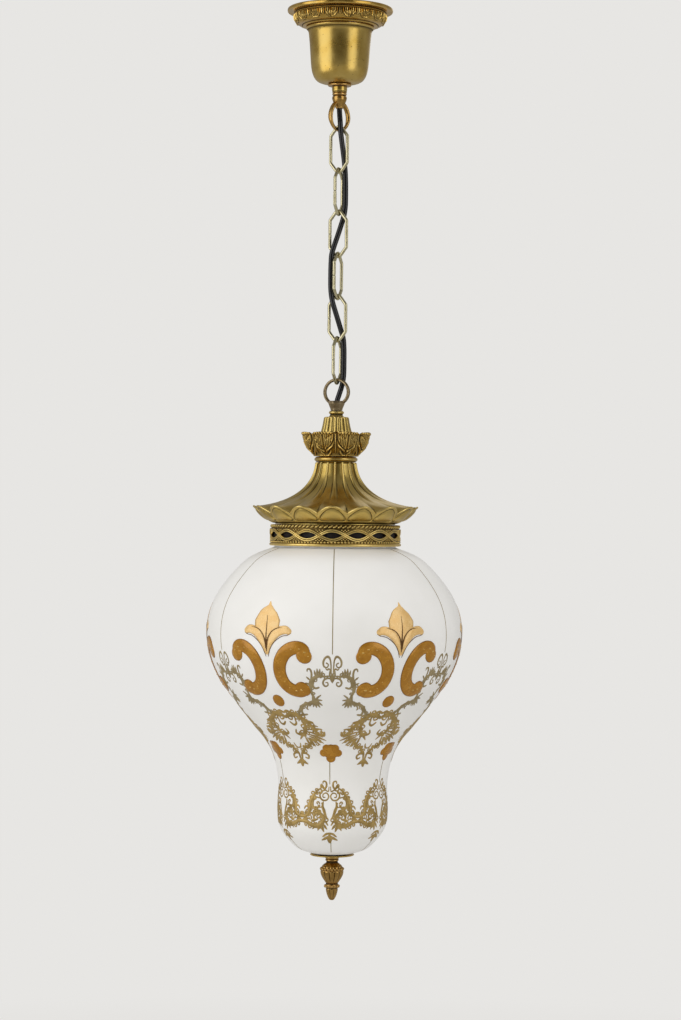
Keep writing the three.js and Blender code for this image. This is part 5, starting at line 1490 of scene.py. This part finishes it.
# %% Draw the festoon
festoon = Drawing()
gilt(festoon,
     [(0, 768), (4.4, 765.6), (9.6, 764.2), (15, 766), (20, 770), (24.6, 775.2), (27.4, 781), (29.8, 786),
               (34.6, 787.4), (37.2, 784)], [1.6, 2.6, 2.8, 2.6, 2.6, 2.4, 2.2, 2.0, 1.8, 1.0], 0.7)
gilt(festoon, [(0.6, 762.4), (4.2, 760.8), (8.4, 762)], [1.4, 1.7, 1.0])
gilt(festoon, [(3.2, 773.4), (6.6, 776.4), (10, 774.4), (10.4, 770)], [1.1, 1.5, 1.3, 1.0])
gilt(festoon, [(19.4, 773.4), (18.4, 780), (15.0, 785.4), (9.4, 787.2), (5.0, 785.4), (6.4, 781.8)],
     [1.6, 2.0, 2.2, 1.9, 1.4, 0.9], 0.6)
leaves(festoon,
       [((20, 787), (34.4, 793.4), 1.9), ((19, 789), (30.6, 796.4), 2.0), ((18, 791), (26.2, 798.4), 2.0),
                        ((16, 791), (20.6, 800.2), 1.9), ((13.6, 790), (14.6, 800.4), 1.7),
                        ((21, 784), (32.6, 789.6), 1.7),
                        ((22, 772), (29.4, 772.8), 1.2), ((25, 777), (32.6, 777.6), 1.3),
                        ((26.6, 781), (35.8, 780.6), 1.2),
                        ((12, 788), (6.6, 792.6), 1.3), ((13, 765.4), (15.2, 760.8), 1.2),
                        ((17.6, 767.6), (20.8, 763.8), 1.1)], 0.9, 0.6, bend=(0, -0.6))
gilt(festoon, [(17, 796), (12.6, 800.8), (8, 801.4), (5.6, 805.2), (2.2, 808.4), (1.2, 814)],
     [1.5, 2.2, 1.9, 1.7, 1.5, 1.2], 0.7)
gilt(festoon, [(2.0, 808.8), (6.2, 808.6), (9.4, 811), (8.4, 814.2), (5.4, 813.2)],
     [1.0, 1.4, 1.3, 1.2, 0.8])
gilt(festoon, [(0, 802.4), (2.6, 801.4), (4.0, 797.6)], [0.8, 1.2, 0.7])
gilt(festoon, [(0, 815), (3.0, 818.4), (6.4, 820.4)], [1.6, 2.0, 0.8], 0.7)
gilt(festoon, [(0, 815), (0.8, 819), (0.4, 822.6)], [1.4, 2.0, 0.9], 0.7)
curls(festoon, [(0, 768), (9.6, 764.2), (20, 770), (27.4, 781), (34.6, 787.4)], 4.6, 2.3)
curls(festoon, [(19.4, 773.4), (18.4, 780), (15.0, 785.4), (9.4, 787.2)], 4.2, 2.3)
curls(festoon, [(31, 789), (24.6, 794.6), (17, 798), (8, 802.4), (2.2, 808.4)], 3.6, 2.3)
lay("gilt_festoons", festoon, gilding, -30.2, 4.6, spread=1.0)

# %% Draw the band round the foot
band = Drawing()
gilt(band,
     [(0.8, 845), (1.6, 850), (5.0, 848.4), (9.4, 850.6), (10.6, 855.2), (7.8, 859.2), (3.2, 859.0),
      (1.0, 855.0),
            (3.4, 851.6), (7.0, 852.8), (7.2, 856.0), (5.2, 856.2)],
     [0.6, 0.8, 0.9, 1.0, 1.1, 1.1, 1.0, 0.9, 0.9, 0.8, 0.8, 0.7])
gilt(band, [(5.6, 847.6), (3.6, 844), (4.0, 839.8), (6.8, 838.8), (7.4, 841)], [1.2, 1.3, 1.1, 1.0, 0.7])
gilt(band, [(6.6, 846.4), (9.2, 842.6), (9.6, 845.8)], [1.4, 1.6, 0.9])
gilt(band,
     [(8.4, 845.6), (13.6, 849.2), (17.8, 854.6), (20.8, 860), (22.4, 866), (22.8, 872), (26.4, 876.6),
            (31.6, 877.6)], [0.8, 1.2, 1.8, 2.4, 2.6, 2.4, 2.0, 1.8], 0.7)
gilt(band, [(11, 857), (15.4, 856.4), (18.6, 860.8), (18.4, 866.6), (14.6, 868.8), (12.2, 866.4)],
     [0.8, 1.1, 1.6, 1.8, 1.5, 1.2])
gilt(band, [(22.6, 872), (23.4, 867), (26.8, 866.4), (28.4, 869)], [1.0, 1.1, 1.2, 0.8])
gilt(band, [(7.0, 861.4), (7.6, 866), (6.0, 870.6), (4.4, 875.6), (2.4, 879.4)], [0.9, 1.6, 2.0, 1.6, 0.8])
gilt(band,
     [(31.6, 882.4), (25.6, 883.2), (20, 886.2), (14.4, 887.4), (9.4, 885.4), (6.2, 880.4), (8.6, 875.2),
            (13.2, 873.4), (17, 875.6), (17.2, 879.2)],
            [2.0, 2.4, 2.6, 2.8, 2.6, 2.4, 2.2, 2.0, 1.7, 1.2], 0.7)
gilt(band, [(31.6, 876.6), (30.0, 873.4), (31.6, 872.4)], [1.4, 1.3, 0.6])
leaves(band, [((13, 880), (20.4, 881.6), 2.0), ((12, 870), (20, 874), 1.9), ((21, 862), (24.4, 864.6), 1.1),
                        ((9, 886), (6.2, 893.4), 2.0), ((7, 885), (2.8, 890.6), 1.7),
                        ((11, 887), (12.6, 892), 1.6),
                        ((16, 888), (18.6, 890.6), 1.3), ((24, 879.6), (30, 880.2), 1.9),
                        ((4.6, 882), (1.8, 886.2), 1.2)], 1.0, 0.7)
gilt(band, [(0, 895.2), (3.6, 896.2), (7.0, 899.0)], [1.1, 1.6, 1.0])
gilt(band, [(0, 898.6), (4.2, 901.0), (7.8, 903.0)], [1.6, 2.0, 1.0])
gilt(band, [(0, 897), (1.0, 902), (0.5, 906)], [1.4, 2.2, 1.0])
curls(band, [(8.4, 845.6), (17.8, 854.6), (22.4, 866), (22.8, 872), (31.6, 877.6)], 4.0, 2.4)
curls(band, [(31.6, 882.4), (20, 886.2), (9.4, 885.4), (6.2, 880.4), (13.2, 873.4)], 4.0, 2.3)
curls(band, [(6, 862), (12, 864), (14.6, 871), (20, 876), (28, 878)], 3.8, 2.3)
lay("gilt_foot_band", band, gilding, -3.0, 4.6)

gold_lines("gilt_lines_lowest", (907, 914, 921), 0.45, 0.4, 8, -1.6, 1.5)

# %% [markdown]
# ## The disc and the finial
# A thin disc closes the glass from below. The finial is turned and then worked: a fluted bulb under a row
# of beads, a second row, and a bud that runs out to a point.

# %% Turn the disc and the finial
turned_ring("thin_disc", "bottom_disc", "shade", polished_brass, [
    (3.4, 2.8), (9.4, 2.8), (14, 2.6), (20, 2.0), (23.6, 1.5), (24.2, 1.0), (24.1, 0.4), (23.2, 0),
    (3.4, 0),
], 160)

# The felt under the glass is near black: partly its own colour, partly a painted shadow line under the
# glass.
turned_ring("bottom_felt", "bottom_gasket", "shade", felt_and_shade_black, [
    (3.4, 0.05), (14.6, 0.05), (15.4, 1.1), (16.4, 1.3), (16.4, 1.5), (3.4, 1.5),
], rounds=0)

FINIAL_BODY = "bottom_finial"
finial_top = node_top("finial")
GADROONS = 12
BUD_RIBS = 8


def finial_relief(angle, radius, height, point):
    depth = (finial_top - height) / MM
    bulb = np.clip((depth - 15.0) / 1.5, 0, 1) * np.clip((29 - depth) / 3, 0, 1)
    shoulder = np.clip((depth - 8.5) / 1.0, 0, 1) * np.clip((12.6 - depth) / 0.8, 0, 1)
    bud = np.clip((depth - 35) / 1.0, 0, 1) * np.clip((46.5 - depth) / 3, 0, 1)
    return MM * (1.3 * bulb * rib(angle, GADROONS) + 1.0 * shoulder * rib(angle, GADROONS)
                 + 0.9 * bud * rib(angle, BUD_RIBS))


finial_line = below(finial_top, [
    (0.01, 0.05), (3.4, 0.0), (7.0, 0.0), (7.5, 0.5), (7.4, 1.9), (6.8, 2.5), (7.3, 3.2), (7.2, 4.4),
    (6.3, 5.0),
    (6.4, 6.4), (7.6, 7.4), (9.8, 9.0), (11.2, 10.8), (11.6, 12.2), (11.8, 14.6), (12.6, 15.6),
    (12.5, 18.2),
    (11.4, 21.6), (9.3, 25.2), (7.6, 27.8), (6.6, 29.2), (6.6, 30.0), (7.4, 30.8), (7.6, 32.4), (7.0, 33.8),
    (6.4, 34.5), (6.6, 36.0), (6.2, 38.6), (5.3, 42.0), (4.0, 45.0), (2.6, 47.2), (1.4, 47.95),
    (0.01, 48.0),
])
finial_line = even(through(finial_line, 5), 0.00045, closed=False)
finial = turned("fluted_finial", finial_line, GADROONS * 14, closed=False, relief=finial_relief)
mount(finial, FINIAL_BODY, gilt_brass, ["finial"], feature=0.0011)
bead_row("finial_bead_row", FINIAL_BODY, gilt_brass, round_points(20, 0.0119, finial_top - 0.0135),
         (1.85, 1.6, 1.7))
bead_row("finial_small_beads", FINIAL_BODY, gilt_brass, round_points(14, 0.0077, finial_top - 0.0325),
         (1.65, 1.25, 1.6))

# %% [markdown]
# ## What is inside
# The strap, nuts, pipes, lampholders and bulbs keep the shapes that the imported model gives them. They only
# need a real finish: plated steel, glazed porcelain, felt, coloured cores and clear bulb glass.

# %% Finish the pieces inside
porcelain = gloss("glazed porcelain", (0.86, 0.84, 0.79), 0.18, 0.06, 60, 0.5)
felt = gloss("brown felt", (0.055, 0.04, 0.03), 0.9, 0.5, 300)
brown_core = gloss("brown core", (0.16, 0.065, 0.03), 0.4, 0.2, 200)
blue_core = gloss("blue core", (0.04, 0.10, 0.28), 0.4, 0.2, 200)


def bulb_glass():
    material = gloss("bulb glass", (0.93, 0.92, 0.88), 0.05, 0.03, 30)
    shader = material.node_tree.nodes["Principled BSDF"]
    shader.inputs["Transmission Weight"].default_value = 1.0
    shader.inputs["IOR"].default_value = 1.5
    return material


BY_SLOT = {
    "brass": polished_brass, "chain_brass": chain_brass, "steel": plated_steel, "flex_sheath": black_sheath,
    "core_brown": brown_core, "core_blue": blue_core, "opal": opal, "porcelain": porcelain, "felt": felt,
    "clear": bulb_glass(),
}
for subpart in frame["record"]["subparts"]:
    node = frame["nodes"][subpart["node"]]
    if node.hide_render:
        continue
    node.data.materials.clear()
    node.data.materials.append(BY_SLOT[subpart["material_slot"]])
print("Finished the packed pieces that stay")
